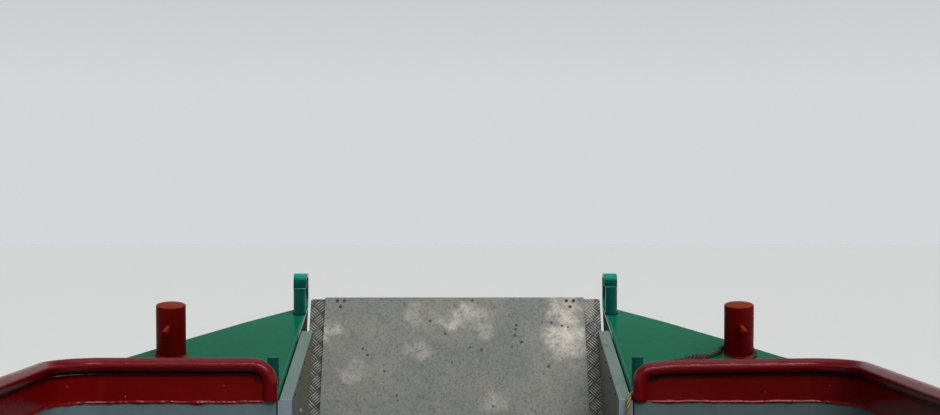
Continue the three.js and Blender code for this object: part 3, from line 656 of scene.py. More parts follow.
# Points on a centripetal curve through the knots, about step apart
def curved(knots, step):
    ends = [2 * knots[0] - knots[1], *knots, 2 * knots[-1] - knots[-2]]
    line = []
    for a, b, c, d in zip(ends, ends[1:], ends[2:], ends[3:]):
        pairs = ((a, b), (b, c), (c, d))
        t = [0.0]
        for p, q in pairs:
            t.append(t[-1] + max((q - p).length, 1e-9) ** 0.5)
        count = max(2, round((c - b).length / step))
        for k in range(count):
            u = t[1] + (t[2] - t[1]) * k / count
            first = [p.lerp(q, (u - t[i]) / (t[i + 1] - t[i])) for i, (p, q) in enumerate(pairs)]
            second = [first[i].lerp(first[i + 1], (u - t[i]) / (t[i + 2] - t[i])) for i in (0, 1)]
            line.append(second[0].lerp(second[1], (u - t[1]) / (t[2] - t[1])))
    line.append(knots[-1].copy())
    return line


# A flat coil in layers, entered from outside
def coilKnots(key, place):
    radius, degrees, sign = ropes[key]["entry"]
    outer, pitch = ropes["coilRadius"], ropes["diameter"]
    legs = [(0.5, outer, 0.0)]
    for layer in range(ropes["layers"]):
        goal = outer if layer % 2 else outer - ropes["coilTurns"] * pitch
        legs += [(ropes["coilTurns"], goal, 0.0), (1.0, goal, pitch)]
    knots, turn, height = [], 0.0, ropes["lift"]
    for turns, goal, climb in legs[:-1]:
        steps = round(turns * ropes["knotsPerTurn"])
        startRadius, startHeight = radius, height
        for k in range(1, steps + 1):
            turn += turns / steps
            radius = startRadius + (goal - startRadius) * k / steps
            height = startHeight + climb * k / steps
            a = math.radians(degrees) + sign * 2 * math.pi * turn
            knots.append(place @ Vector((radius * math.cos(a), radius * math.sin(a), height)))
    return knots


def lengthOf(points):
    return sum((b - a).length for a, b in zip(points, points[1:]))


# A rope's surface round its path, with strands that wind about it, and the length along it as V
def ropeMesh(name, path, diameter, strandTurn, swell=None, sign=1):
    lobes, offsets = 3, [-60, -51, -38, -20, 0, 20, 38, 51]
    share = ropes["strand"] * diameter
    radii, crest = [], []
    for degrees in offsets:
        a = math.radians(degrees)
        radii.append(share * math.cos(a) + math.sqrt(max(share ** 2 - (share * math.sin(a)) ** 2, 0)))
        crest.append(1 - abs(degrees) / 60)
    ring = len(offsets) * lobes
    verts, faces, uvs, crests = [], [], [], []
    tangent = (path[1] - path[0]).normalized()
    across = tangent.orthogonal().normalized()
    travelled = 0.0
    for i, here in enumerate(path):
        following = (path[min(i + 1, len(path) - 1)] - path[max(i - 1, 0)]).normalized()
        across = (tangent.rotation_difference(following) @ across).normalized()
        across = (across - following * across.dot(following)).normalized()
        tangent = following
        other = tangent.cross(across)
        travelled += (here - path[i - 1]).length if i else 0.0
        twist = sign * 2 * math.pi * travelled / strandTurn
        grow = swell(i / (len(path) - 1)) if swell else 1.0
        for k in range(ring):
            lobe, step = divmod(k, len(offsets))
            a = twist + 2 * math.pi * lobe / lobes + math.radians(offsets[step])
            verts.append(here + (across * math.cos(a) + other * math.sin(a)) * radii[step] * grow)
            uvs.append((k / ring, travelled))
            crests.append(crest[step])
        if i:
            base = (i - 1) * ring
            faces.extend((base + k, base + (k + 1) % ring, base + ring + (k + 1) % ring, base + ring + k)
                         for k in range(ring))
    faces.append(tuple(reversed(range(ring))))
    faces.append(tuple(range(len(verts) - ring, len(verts))))
    mesh = bpy.data.meshes.new(name)
    mesh.from_pydata(verts, [], faces)
    layer = mesh.uv_layers.new(name="lay")
    for polygon in mesh.polygons:
        closing = len(polygon.vertices) == 4 and polygon.vertices[1] < polygon.vertices[0]
        for loop in polygon.loop_indices:
            vertex = mesh.loops[loop].vertex_index
            u, v = uvs[vertex]
            layer.data[loop].uv = (1.0 if closing and vertex % ring == 0 else u, v)
    mesh.attributes.new("crest", "FLOAT", "POINT").data.foreach_set("value", crests)
    return smoothed(mesh, 70)


# Material of a rope: yarns along the strands, painted shade in the gaps between them
def ropeMaterial(name, light, dark, gap):
    material, shader, place = newMaterial(name)
    lay = source(place.tree, "UVMap", 0, uv_map="lay")
    crest = source(place.tree, "Attribute", "Fac", attribute_name="crest")
    yarns = noiseOf(stretched(lay, (90.0, 60.0, 1.0)), 1.0, 3.0, 0.6)
    hair = noiseOf(place, 900.0, 4.0, 0.7)
    color = mixed(ranged(yarns, 0.3, 0.7), rgb(*dark), rgb(*light))
    # Painted shade: darker in the gaps between the strands
    color = mixed(ranged(crest, 0.5, 0.0, 0.0, 0.85, smooth=True), color, rgb(*gap))
    dress(shader, color, ranged(hair, 0.3, 0.7, 0.75, 0.95), hair * 0.4 + yarns * 0.6, 0.8, 0.0008)
    return material, name.replace("Rope", "_rope")


finishes["brownRope"] = ropeMaterial("brownRope", (78, 60, 50), (40, 28, 24), (12, 8, 7))
finishes["goldRope"] = ropeMaterial("goldRope", (172, 152, 106), (84, 67, 36), (14, 10, 4))


def makeRope(key, coilPlace):
    spec = ropes[key]
    knots = [onDeck(*row) for row in spec["onDeck"]]
    knots += [Vector((x, 6000 + y, z)) / 1000 for x, y, z in spec["beyond"]]
    coil = curved([knots[-1], *coilKnots(key, coilPlace)], ropes["coilStep"])
    path = curved(knots, ropes["seenStep"]) + coil[1:]
    mesh = ropeMesh(key + "_rope", path, ropes["diameter"], ropes["strandTurn"])
    rope = piece(key + "_rope", mesh, key + "Rope", [f"{key}_line", f"{key}_line_coil"])
    print(f"stage: {key} rope, {lengthOf(path):.2f} m, {len(mesh.polygons) * 2} triangles")
    return rope, path


# The whipping is a tight winding of twine at a rope's end
def whipping(name, path):
    spec = ropes["whipping"]
    tail = path[-12:]
    axis = (tail[-1] - tail[0]).normalized()
    side = axis.orthogonal().normalized()
    other = axis.cross(side)
    radius = ropes["diameter"] / 2 + spec["width"] * 0.45
    points = []
    for k in range(spec["turns"] * 20 + 1):
        a = 2 * math.pi * k / 20
        along = -spec["inset"] - spec["width"] * k / 20
        points.append(tail[-1] + axis * along + (side * math.cos(a) + other * math.sin(a)) * radius)
    mesh = tubeMesh(name, points, spec["width"] / 2, 8)
    return piece(name, mesh, "greyPaint")


# The eye's splice: strands tucked back into the rope
def splice():
    spec = ropes["splice"]
    start, end = (onDeck(*spec[key]) + Vector((0, 0, spec["lift"])) for key in ("from", "to"))
    path = [start.lerp(end, k / spec["steps"]) for k in range(spec["steps"] + 1)]
    mesh = ropeMesh("brown_splice", path, spec["thick"], spec["turn"],
                    lambda t: 0.62 + 0.38 * math.sin(math.pi * t) ** 0.6, -1)
    return piece("brown_splice", mesh, "brownRope")


brownRope, brownPath = makeRope("brown", deckPlace(*ropes["brown"]["coil"], 0.0))
goldRope, goldPath = makeRope("gold", moved(*ropes["gold"]["coil"]))
withBrown = [splice(), whipping("brown_whipping", brownPath)]
withGold = [whipping("gold_whipping_lower", goldPath), whipping("gold_whipping_upper", goldPath[::-1])]
lengthOf(brownPath)
lengthOf(goldPath)
print("stage: ropes laid")


# Finishes of the bow that need more than one paint

# Where the coaming's red paint stops: its height, and the waves in that line as size, pace and phase
redEdge = {"z": 1.2257, "waves": [(0.0007, 23.0, 0.4), (0.0005, 61.0, 2.0), (0.0003, 139.0, 1.1)]}
coamingColours = {
    "red": tones((112, 5, 5), (92, 2, 3), 7.0),
    "portStop": {"x": 0.4855, "z": 1.246},    # the port side's red stops short of the plate's end
    # painted shadow under the rail: the bend's middle on each side, its reach, and how much starboard's rises
    # outwards
    "groove": {"x": 0.527, "right": 1.2615, "left": 1.268, "reach": 0.033, "rise": 0.013},
    # shadeUnderRail is the colour of the painted shadow under the rail
    "shadeUnderRail": rgb(26, 0, 3), "shade": rgb(8, 10, 10), "fleck": rgb(200, 170, 160),
    "lip": [(0.125, 0.0), (0.27, 1.0), (0.42, 0.85), (0.6, 0.45), (1.0, 0.35)],
}


def coamingPaint():
    spec, groove = coamingColours, coamingColours["groove"]
    material, shader, place = newMaterial("coamingPaint")
    x, _, z = axesOf(place)
    edge = redEdge["z"]
    for size, pace, phase in redEdge["waves"]:
        edge = calc("SINE", x * pace + phase) * size + edge
    wobble = ranged(noiseOf(stretched(place, (0.0, 0.0, 1.0)), 90.0, 4.0), 0.3, 0.7, -0.0014, 0.0014)
    out, port = abs(x), calc("LESS_THAN", x, 0.0)
    stop = spec["portStop"]
    short = port * ranged(out + wobble, stop["x"] + 0.0008, stop["x"] - 0.0008)
    above = z - (short * (stop["z"] - redEdge["z"]) + edge)
    red = ranged(above, -0.0002, 0.0002)
    climb = (1.0 - port) * ((out - groove["x"]) * groove["rise"])
    across = larger(groove["x"] - out, 0.0)
    over = larger(z - climb - (port * (groove["left"] - groove["right"]) + groove["right"]), 0.0)
    reach = groove["reach"]
    # Painted shadow: the plate darkens just under the tube and round its bend
    dark = ranged(calc("SQRT", across * across + over * over), reach - 0.016, reach - 0.007, smooth=True)
    dark = dark * ranged(z, 1.262, 1.288, smooth=True)
    lip = rampOf(ranged(above, -0.001, 0.007), [(at, (raised,) * 3 + (1,)) for at, raised in spec["lip"]])
    color = mixed(red, tonesOf(place, paints["greyPaint"]), tonesOf(place, spec["red"]))
    color = mixed(dark * 0.85, color, spec["shadeUnderRail"])
    # Painted shade: the plate darkens towards starboard
    color = blackOutside(place, mixed(ranged(x, -0.3, 0.8, 0.0, 0.3), color, spec["shade"]))
    specks = use("speckle", place, Scale=80.0, Size=0.2, Share=0.05)
    film, gloss = use("film", place, "Height", Scale=38.0).siblings()
    rough = red * -0.24 + ranged(gloss, 0.3, 0.7, 0.36, 0.46)
    dress(shader, mixed(specks * 0.35, color, spec["fleck"]), rough, lip * 2.4 + film * 0.3, 0.5, 0.0012, 0.2)
    return material


cheekColours = {
    # worn is a pale line along the cheeks' edges, a painted highlight
    "top": tones((101, 117, 112), (89, 106, 101), 9.0), "inner": tones((96, 98, 89), (76, 80, 71), 6.0),
    # near is the tone of the aft end faces, painted lighter as painted light
    "near": rgb(122, 138, 144), "worn": rgb(140, 148, 140), "scuff": rgb(56, 57, 52),
    "brown": rgb(126, 112, 86), "brush mark": (0.423, 6.421, 1.3315),
}


def cheekPaint():
    spec = cheekColours
    material, shader, place = newMaterial("cheekPaint")
    facing = facingOf(place)
    x, y, _ = axesOf(place)
    inner = mixed(ranged(y, 6.18, 6.5, 0.0, 0.55, smooth=True), tonesOf(place, spec["inner"]), spec["brown"])
    color = mixed(ranged(abs(facing[0]), 0.6, 0.9), tonesOf(place, spec["top"]), inner)
    # Painted light: faces that look aft are lighter
    color = mixed(ranged(facing[1], -0.6, -0.9), color, spec["near"])
    scuffed = ranged(noiseOf(stretched(place, (1.0, 0.25, 1.0)), 160.0, 6.0, 0.7), 0.66, 0.74)
    color = mixed(scuffed * 0.35, color, spec["scuff"])
    clouds = noiseOf(place, 70.0, 3.0)
    brushed = ranged(distance(place, spec["brush mark"]), 0.009, 0.005) * ranged(clouds, 0.36, 0.44)
    color = mixed(brushed * calc("GREATER_THAN", x, 0.0), color, paints["deckPaint"]["dark"])
    # Painted highlight: the pale line along the rounded edges, from the worn colour
    color = mixed(use("edgeWear", place, Radius=0.003, Scale=120.0, Amount=0.35), color, spec["worn"])
    height = noiseOf(place, 300.0, 3.0) - scuffed * 0.5
    dress(shader, color, ranged(clouds, 0.3, 0.7, 0.4, 0.55), height, 0.3, 0.0006)
    return material


panelColours = {
    "warm": rgb(134, 131, 122), "cool": rgb(107, 111, 109), "pale": rgb(202, 194, 180),
    "pit": rgb(20, 21, 18), "grain": rgb(52, 56, 54), "rust": rgb(124, 84, 48),
    "rust spot": (-0.297, 0.0, 1.357),
    # x, z and radius in mm
    "pits": [
        (-0.267, 1.314, 6), (-0.252, 1.297, 5.5), (0.174, 1.367, 6), (0.172, 1.351, 6.5),
        (0.191, 1.333, 6.5), (0.177, 1.379, 5), (0.163, 1.318, 4.5), (0.075, 1.309, 6),
        (0.043, 1.317, 4.5), (-0.029, 1.355, 6), (-0.074, 1.390, 5.5), (0.049, 1.449, 4.5),
        (0.268, 1.265, 6), (0.279, 1.386, 4.5), (0.252, 1.387, 4), (0.310, 1.376, 4.5),
        (0.327, 1.374, 4.5), (-0.011, 1.277, 4.5), (-0.204, 1.253, 5), (-0.167, 1.187, 5),
        (-0.164, 1.175, 4.5), (0.106, 1.161, 4.5)
    ],
    # x, z, half width, half height and strength; the first two, at the upper right, are a painted patch of
    # sunlight, the rest paler patches in the board
    "pale and sunlit patches": [
        (0.32, 1.34, 0.066, 0.054, 1.0), (0.32, 1.42, 0.047, 0.054, 0.85),
        (0.02, 1.40, 0.083, 0.032, 0.6), (-0.37, 1.36, 0.044, 0.034, 0.5),
        (-0.10, 1.30, 0.036, 0.034, 0.4), (-0.29, 1.25, 0.044, 0.025, 0.35),
        (0.07, 1.36, 0.033, 0.029, 0.35), (-0.12, 1.41, 0.038, 0.029, 0.3),
        (0.10, 1.17, 0.044, 0.025, 0.35)
    ],
}


# The ramp's board: a gritty slab, mottled warm on cool, with pits and dark grains, pale patches and a painted
# sunlit patch at its upper right
def panelGrit():
    spec = panelColours
    material, shader, place = newMaterial("panelGrit")
    flat = stretched(place, (1.0, 0.0, 1.0))
    color = mottled(place, 7.0, spec["warm"], spec["cool"], Contrast=0.15)
    blur = made("TexNoise", {"Vector": place, "Scale": 16.0, "Detail": 4.0}, "Color")
    strayed = made("VectorMath", {0: blur, 1: (0.5, 0.5, 0.5)}, operation="SUBTRACT")
    strayed = made("VectorMath", {0: strayed, 1: (0.13, 0.0, 0.13), 2: flat}, operation="MULTIPLY_ADD")
    patch = 0.0
    # Painted light among the pale patches: the sunlit patch at the upper right
    for x, z, wide, tall, share in spec["pale and sunlit patches"]:
        oval = ranged(ovalDistance(strayed, x, z, wide, tall), 1.25, 0.2, 0.0, share, smooth=True)
        patch = larger(oval, patch)
    color = mixed(patch * ranged(noiseOf(place, 38.0, 5.0, 0.6), 0.36, 0.6, 0.45, 0.95), color, spec["pale"])
    color = mixed(ranged(noiseOf(place, 130.0, 4.0, 0.7), 0.5, 0.66, 0.0, 0.5), color, spec["grain"])
    grit = noiseOf(place, 520.0, 5.0, 0.75)
    grains = noiseOf(place, 170.0, 6.0, 0.8)
    dense = ranged(noiseOf(place, 4.0, 3.0), 0.4, 0.62, 0.25, 1.0)
    color = mixed(ranged(grains, 0.54, 0.66) * dense * 0.8, color, spec["grain"])
    color = mixed(ranged(grit, 0.3, 0.7, 0.3, 0.0), color, spec["grain"])
    small = use("speckle", place, Scale=150.0, Size=0.34, Share=0.2)
    large = use("speckle", place, Scale=42.0, Size=0.13, Share=0.12)
    ragged = ranged(noiseOf(place, 400.0, 4.0), 0.35, 0.55)
    ring = ranged(noiseOf(place, 200.0, 3.0), 0.3, 0.7, -0.0026, 0.0026)
    hollow = 0.0
    for x, z, size in spec["pits"]:
        hollow = larger(ranged(distance(flat, (x, 0.0, z)) + ring, size / 1200, size / 2600), hollow)
    pits = larger(larger(small * dense, large) * ragged, hollow)
    color = mixed(pits * 0.85, color, spec["pit"])
    rust = larger(use("speckle", place, Scale=17.0, Size=0.09, Share=0.08),
                  ranged(distance(flat, spec["rust spot"]), 0.009, 0.004))
    color = mixed(rust * ragged * 0.7, color, spec["rust"])
    height = grains * 0.5 + grit * 0.5 - pits * 1.2
    dress(shader, color, ranged(grains, 0.3, 0.7, 0.8, 0.95), height, 0.55, 0.0014)
    return material


metals = table("slot light dark tarnish rough metallic scale", {
    "treadMetal": ("tread_plate", (152, 152, 144), (116, 116, 109), (66, 66, 60), (0.42, 0.56), 0.2, 14.0),
    "screwIron": ("dark_iron", (78, 74, 64), (40, 38, 32), (96, 80, 60), (0.6, 0.75), 0.2, 60.0),
    "treadGround": ("tread_plate", (66, 67, 63), (46, 47, 44), (30, 30, 27), (0.5, 0.66), 0.2, 14.0),
    "brass": ("brass", (206, 162, 84), (160, 118, 52), (74, 56, 28), (0.18, 0.36), 1.0, 12.0),
    "darkIron": ("dark_iron", (52, 52, 54), (28, 28, 30), (96, 66, 46), (0.45, 0.65), 0.5, 16.0),
    "zinc": ("tread_plate", (200, 202, 200), (150, 152, 150), (90, 88, 80), (0.28, 0.42), 0.9, 30.0),
})
# A painted patch of sunlight on the tread plate's upper right, by x, z and half sizes
sunlitPatch = {"on": ("treadMetal", "treadGround"), "spot": (0.392, 1.435, 0.018, 0.05),
         "color": rgb(172, 166, 152)}


def metal(name):
    spec = metals[name]
    material, shader, place = newMaterial(name)
    lines = noiseOf(stretched(place, (1.0, 0.08, 1.0), (0, 0, 0.4)), 700.0, 3.0)
    marks = ranged(noiseOf(place, 60.0, 6.0, 0.7), 0.56, 0.7)
    color = mixed(marks * 0.5, tonesOf(place, spec), spec["tarnish"])
    # Painted light: the sunlit patch on the tread plate
    if name in sunlitPatch["on"]:
        edge = noiseOf(place, 90.0, 3.0) * 0.8 + ovalDistance(place, *sunlitPatch["spot"])
        color = mixed(ranged(edge, 1.5, 1.1, 0.0, 0.4), color, sunlitPatch["color"])
    rough = marks * 0.12 + ranged(lines, 0.3, 0.7, *spec["rough"])
    dress(shader, color, rough, lines - marks, 0.12, 0.0004)
    setInputs(shader, {"Metallic": spec["metallic"]})
    return material, spec["slot"]


# The hull's black, with old green paint on the faces beside the ramp, darkened there as painted shade
wing = {"shadedGreen": tones((34, 54, 42), (22, 34, 27), 7.0), "shine": 0.04, "gloss": (0.7, 0.85)}


def wingPaint():
    material, shader, place = newMaterial("wingPaint")
    black = paints["hullPaint"]
    inner = ranged(abs(axesOf(place)[0]), 0.462, 0.456)
    color = mixed(inner, tonesOf(place, black), tonesOf(place, wing["shadedGreen"]))
    finishPaint(shader, place, {**black, **wing}, color)
    return material


finishes["wingPaint"] = wingPaint(), "hull_black"
finishes["coamingPaint"] = coamingPaint(), "pale_grey"
finishes["cheekPaint"] = cheekPaint(), "cheek_grey"
finishes["panelGrit"] = panelGrit(), "ramp_board"
finishes.update({name: metal(name) for name in metals})
print("stage: finishes of the bow made")


# Rails and coaming

# Bends are x, height of the tube's top and radius, from the inboard leg outwards
rail = {"radius": 0.019, "legX": 0.470, "footZ": 1.2296, "x": 1.015, "corner": 0.130, "aftY": 1.9005,
        "aftTop": 1.340, "plate": 0.008, "bead": 0.0019,
        "bends": {"right": [(0.470, 1.3222, 0.031), (0.560, 1.3308, 0.20), (1.015, 1.3370, 0.130)],
                  "left": [(0.470, 1.3370, 0.047), (1.015, 1.3385, 0.130)]},
        "gusset": {"right": 0.003, "left": 0.004, "outX": 0.548}}


def railPath(side):
    y, r = bow["coamingY"], rail["radius"]
    bends = [(x, y, top - r, turn) for x, top, turn in rail["bends"][side]]
    return bent([(rail["legX"], y, rail["footZ"]), *bends, (rail["x"], rail["aftY"], rail["aftTop"] - r)], 20)


# The weld under the tube, on the coaming's inner or outer face
def weldPath(side, out):
    off = out * (rail["plate"] / 2 - 0.0002)
    y = bow["coamingY"] + off
    bends = rail["bends"][side]
    under = 2 * rail["radius"] + 0.0004
    line = [(rail["gusset"]["outX"], y, bends[-2][1] - under),
            (rail["x"] + off, y, bends[-1][1] - under, rail["corner"] + off),
            (rail["x"] + off, 1.94, rail["aftTop"] - under)]
    return divided(bent(line, 12), 0.012)


# Fills the corner between the coaming's plate and the tube's bend
def cornerPlate(side):
    form = bmesh.new()
    inset = rail["gusset"][side]
    top = rail["bends"][side][0][1] - rail["radius"] - inset
    half = rail["plate"] / 2 - 0.0002
    addBlock(form, (rail["legX"] + inset, bow["coamingY"] - half, rail["footZ"]),
             (rail["gusset"]["outX"], bow["coamingY"] + half, top))
    return finishMesh(form, "cornerPlate")


# The red paint's thick lower edge on the coaming's face
paintBead = {"radius": 0.0041, "lumps": 0.26, "ends": {"right": 0.458, "left": 0.487}, "thinTo": 0.50}


def paintBeadPath(side):
    off = -rail["plate"] / 2
    y = bow["coamingY"] + off
    outX = rail["x"] + off
    line = [(paintBead["ends"][side], y, 0), (outX, y, 0, rail["corner"] + off), (outX, 1.94, 0)]
    points = divided(bent(line, 12), 0.0035)
    for p in points:
        x = p.x if side == "right" else -p.x
        p.z = redEdge["z"] + sum(size * math.sin(pace * x + phase) for size, pace, phase in redEdge["waves"])
    return points


def paintBeadSwell(point):
    lump = 1 + paintBead["lumps"] * (noise.noise(point * 95) + noise.noise(point * 280))
    drip = 0.35 * max(0.0, noise.noise(point * 21 + Vector((3, 0, 0))) - 0.25) / 0.25
    return (lump + drip) * (0.45 if 0 < point.x < paintBead["thinTo"] else 1.0)


def lumpy(amount, scale):
    return lambda point: 1.0 + amount * noise.noise(point * scale)


for side in ("right", "left"):
    flip = (lambda points: [Vector((-x, y, z)) for x, y, z in points]) if side == "left" else list
    tube = tubeMesh("rail", flip(railPath(side)), rail["radius"], 40)
    piece(f"rail_tube_{side}", tube, "railPaint", [f"rail_{side}"])
    for label, out in (("inner", -1), ("outer", 1)):
        weld = tubeMesh("weld", flip(weldPath(side, out)), rail["bead"], 8, lumpy(0.3, 70))
        # Painted shade: the welds take a dark red for the shade under the tube
        piece(f"rail_weld_{label}_{side}", weld, "grooveShadePaint")
    piece(f"corner_plate_{side}", onSide(cornerPlate(side), side), "coamingPaint")
    edge = tubeMesh("paintEdge", flip(paintBeadPath(side)), paintBead["radius"], 12, paintBeadSwell)
    piece(f"paint_edge_{side}", edge, "edgePaint")
    softened(f"coaming_{side}", 0.0012, "coamingPaint")


# Decks of the bow, with what stands on them

# The posts lean a little forward and inboard of square to the deck, in degrees
post = {"x": 0.784, "ahead": 0.350, "radius": 0.0405, "height": 0.141, "lean": (-1.9, -1.7), "sunk": 0.002,
        "pinZ": 0.085, "pinRadius": 0.009, "pinReach": 0.100}


def leaning(place):
    pivot = moved(0, 0, 0.75 * post["height"])
    forward, inboard = post["lean"]
    return place @ pivot @ turned(forward, "X") @ turned(inboard, "Y") @ pivot.inverted()


def bollardMesh(place, name):
    form = bmesh.new()
    radius, pinRadius = post["radius"], post["pinRadius"]
    sunk = post["sunk"]
    addRod(form, place @ moved(0, 0, -sunk), radius, post["height"] + sunk, 56, 0.0026, segments=3)
    pin = place @ moved(0, 0, post["pinZ"]) @ turned(90, "X")
    addRod(form, pin, pinRadius, post["pinReach"], 28, 0.0022, segments=3)
    ringOn(form, pin @ moved(0, 0, radius - 0.0005), pinRadius + 0.0008, 0.0024, 28, 0.03)
    ringOn(form, place @ moved(0, 0, 0.0002), radius + 0.0008, 0.0032, 56, 0.03)
    return finishMesh(form, name)


# What is over a plane, closed again along the cut
def trimmed(form, point, normal, tiny=1e-7):
    everything = form.verts[:] + form.edges[:] + form.faces[:]
    bmesh.ops.bisect_plane(form, geom=everything, plane_co=point, plane_no=normal, clear_inner=True, dist=tiny)
    bmesh.ops.holes_fill(form, edges=[e for e in form.edges if e.is_boundary], sides=0)


# A round bar that stands plumb on the deck, its foot cut to the slope
def plumbRod(form, x, ahead, radius, height, sides, bevel=0.0):
    y, z = bow["coamingY"] + ahead, deckHeight(ahead)
    addRod(form, moved(x, y, z - 0.01), radius, height + 0.01, sides, bevel)
    trimmed(form, (x, y, z + 0.0003), (0, -bow["rise"], 1))


peg = {"x": 0.475, "ahead": 0.096, "radius": 0.015, "height": 0.075, "bevel": 0.0007}


def pegMesh():
    form = bmesh.new()
    plumbRod(form, peg["x"], peg["ahead"], peg["radius"], peg["height"], 40, peg["bevel"])
    ringOn(form, deckPlace(peg["x"], peg["ahead"], 0.0006), peg["radius"], 0.0016, 36, 0.03)
    return finishMesh(form, "peg")


# A hoop's face is how far its flat bar comes down over the leg, and its widths and middles are near and far
hoop = {"near": 0.716, "far": 0.852, "radius": 0.018, "rise": 0.122, "fall": 0.0055, "bend": 0.016,
        "footZ": 0.5603, "flat": 0.012, "flatWidth": (0.0395, 0.034), "flatX": (0.4675, 0.4735),
        "legX": 0.4708, "inset": 0.0012, "face": {"right": 0.0397, "left": 0.0448}, "rake": 31.5}
toSide = Matrix(((0, 0, 1, 0), (1, 0, 0, 0), (0, 1, 0, 0), (0, 0, 0, 1)))


# A round leg on the deck, and a flat bar bent over its top and down the stem
def hoopMesh(face):
    flat, width, rake = hoop["flat"], hoop["flatWidth"][0], math.radians(hoop["rake"])
    outward = hoop["radius"] - flat / 2
    y0, y1 = bow["coamingY"] + hoop["near"], bow["coamingY"] + hoop["far"]
    nearZ, farZ = deckHeight(hoop["near"]), deckHeight(hoop["far"])
    top = nearZ + hoop["rise"] - flat / 2
    seam = nearZ + hoop["rise"] - face
    footY = y1 - (farZ - hoop["footZ"]) * math.tan(rake) - outward * math.cos(rake)
    footZ = hoop["footZ"] + outward * math.sin(rake)
    kneeY = y1 - outward
    kneeZ = footZ + (kneeY - footY) / math.tan(rake)
    lines = []
    for off in (flat / 2, -flat / 2):
        backY, bend = y0 - outward - off, hoop["bend"] + off
        lines.append(bent([(backY, seam, 0), (backY, top + off, 0, bend),
                           (kneeY + off, top + off - hoop["fall"], 0, bend),
                           (kneeY + off, kneeZ - off * math.tan(rake / 2), 0, 0.05),
                           (footY + off * math.cos(rake), footZ - off * math.sin(rake), 0)], 12))
    outline = [(point.x, point.y) for point in lines[0] + lines[1][::-1]]
    form = bmesh.new()
    addPlate(form, outline, width, moved(-width / 2, 0, 0) @ toSide, 0.0016)
    for v in form.verts:
        share = min(max((v.co.y - y0) / (y1 - y0), 0.0), 1.0)
        middle, wide = (near + (far - near) * share for near, far in (hoop["flatX"], hoop["flatWidth"]))
        v.co.x = middle + v.co.x * wide / width
    leg = bmesh.new()
    plumbRod(leg, hoop["legX"], hoop["near"] + hoop["inset"], hoop["radius"], top - nearZ - flat / 2, 48)
    corner = hoop["bend"] * (1 - math.sqrt(0.5))
    trimmed(leg, (hoop["legX"], y0 - outward + corner, top - corner), (0, 1, -1))
    legMesh = finishMesh(leg, "leg")
    form.from_mesh(legMesh)
    bpy.data.meshes.remove(legMesh)
    return finishMesh(form, "hoop")


# A dark ring round the leg's foot: painted contact shade
def hoopFoot():
    form = bmesh.new()
    place = deckPlace(hoop["legX"], hoop["near"] + hoop["inset"], 0.0008)
    ringOn(form, place, hoop["radius"], 0.0022, 48, 0.03)
    return finishMesh(form, "hoopFoot")


# The weld where the flat bar ends on the leg, in a light teal as a painted highlight
def hoopSeam(face):
    form = bmesh.new()
    x, y, z = hoop["flatX"][0], bow["coamingY"] + hoop["near"], deckHeight(hoop["near"]) + hoop["rise"] - face
    place = moved(hoop["legX"], y + hoop["inset"], z - 0.0008)
    ringOn(form, place, hoop["radius"] - 0.0006, 0.0021, 56, 0.03)
    half, y = hoop["flatWidth"][0] / 2 - 0.003, y - hoop["radius"]
    addBlock(form, (x - half, y - 0.0003, z - 0.0016), (x + half, y + 0.004, z + 0.0008), bevel=0.0011)
    return finishMesh(form, "hoopSeam")


bowPost = bollardMesh(leaning(deckPlace(post["x"], post["ahead"])), "post")
bothSides("bow_post", bowPost, "postPaint", "bollard")
bothSides("hoop_foot", hoopFoot(), "footShadePaint")
bothSides("deck_pin", pegMesh(), "pegPaint", "deck_peg")
for side in ("right", "left"):
    face = hoop["face"][side]
    piece(f"stem_hoop_{side}", onSide(hoopMesh(face), side), "hoopPaint", [f"bow_hoop_{side}"])
    piece(f"hoop_seam_{side}", onSide(hoopSeam(face), side), "seamGlintPaint")
    softened(f"wing_deck_{side}", 0.0018, "deckPaint")
    softened(f"wing_body_{side}", 0.002, "wingPaint")
    softened(f"cheek_{side}", 0.0022, "cheekPaint")

# A bead along the inner edge of each deck, as distances ahead of the coaming
deckBead = {"x": 0.4568, "reach": (0.032, 0.690), "radius": 0.0042, "sunk": 0.0014}
ends = [deckPlace(deckBead["x"], ahead) @ Vector((0, 0, -deckBead["sunk"])) for ahead in deckBead["reach"]]
bead = tubeMesh("bead", divided(ends, 0.02), deckBead["radius"], 12, lumpy(0.12, 30))
bothSides("deck_bead", bead, "deckPaint")


# Screws along the cheeks' inner faces, and the plate's edge on each cheek's near end

cheek = {"ahead": (0.431, 0.311, 0.189, 0.069), "below": 0.012, "radius": 0.0034, "x": 0.415,
         "bolt": (-0.415, 6.199, 1.176), "edge": ((0.4472, 5.9988, 0.632), (0.4514, 6.0040, 1.2285))}


def screwHead(form, place, radius, height):
    profile = [(0, 0.55), (0.35, 0.6), (0.42, 1), (0.75, 0.85), (1, 0.25), (1, 0), (0, 0)]
    addTurned(form, [(r * radius, z * height) for r, z in profile], place, 20)


def screwsMesh(name, places, radius, height):
    form = bmesh.new()
    for place in places:
        screwHead(form, place, radius, height)
    return finishMesh(form, name, 50)


form = bmesh.new()
addBlock(form, *cheek["edge"], bevel=0.0008)
bothSides("cheek_edge", finishMesh(form, "cheekEdge"), "cheekPaint")
spots = [moved(cheek["x"], bow["coamingY"] + ahead, deckHeight(ahead) - cheek["below"]) @ turned(-90, "Y")
         for ahead in cheek["ahead"]]
bothSides("cheek_screws", screwsMesh("screws", spots, cheek["radius"], 0.0022), "darkIron")
piece("cheek_bolt", screwsMesh("bolt", [moved(*cheek["bolt"]) @ turned(90, "Y")], 0.008, 0.006), "zinc")
print("stage: bow decks, posts, pegs, hoops and cheeks made")


# Ramp: the tread plate with raised bars beside the board, and the board's screws

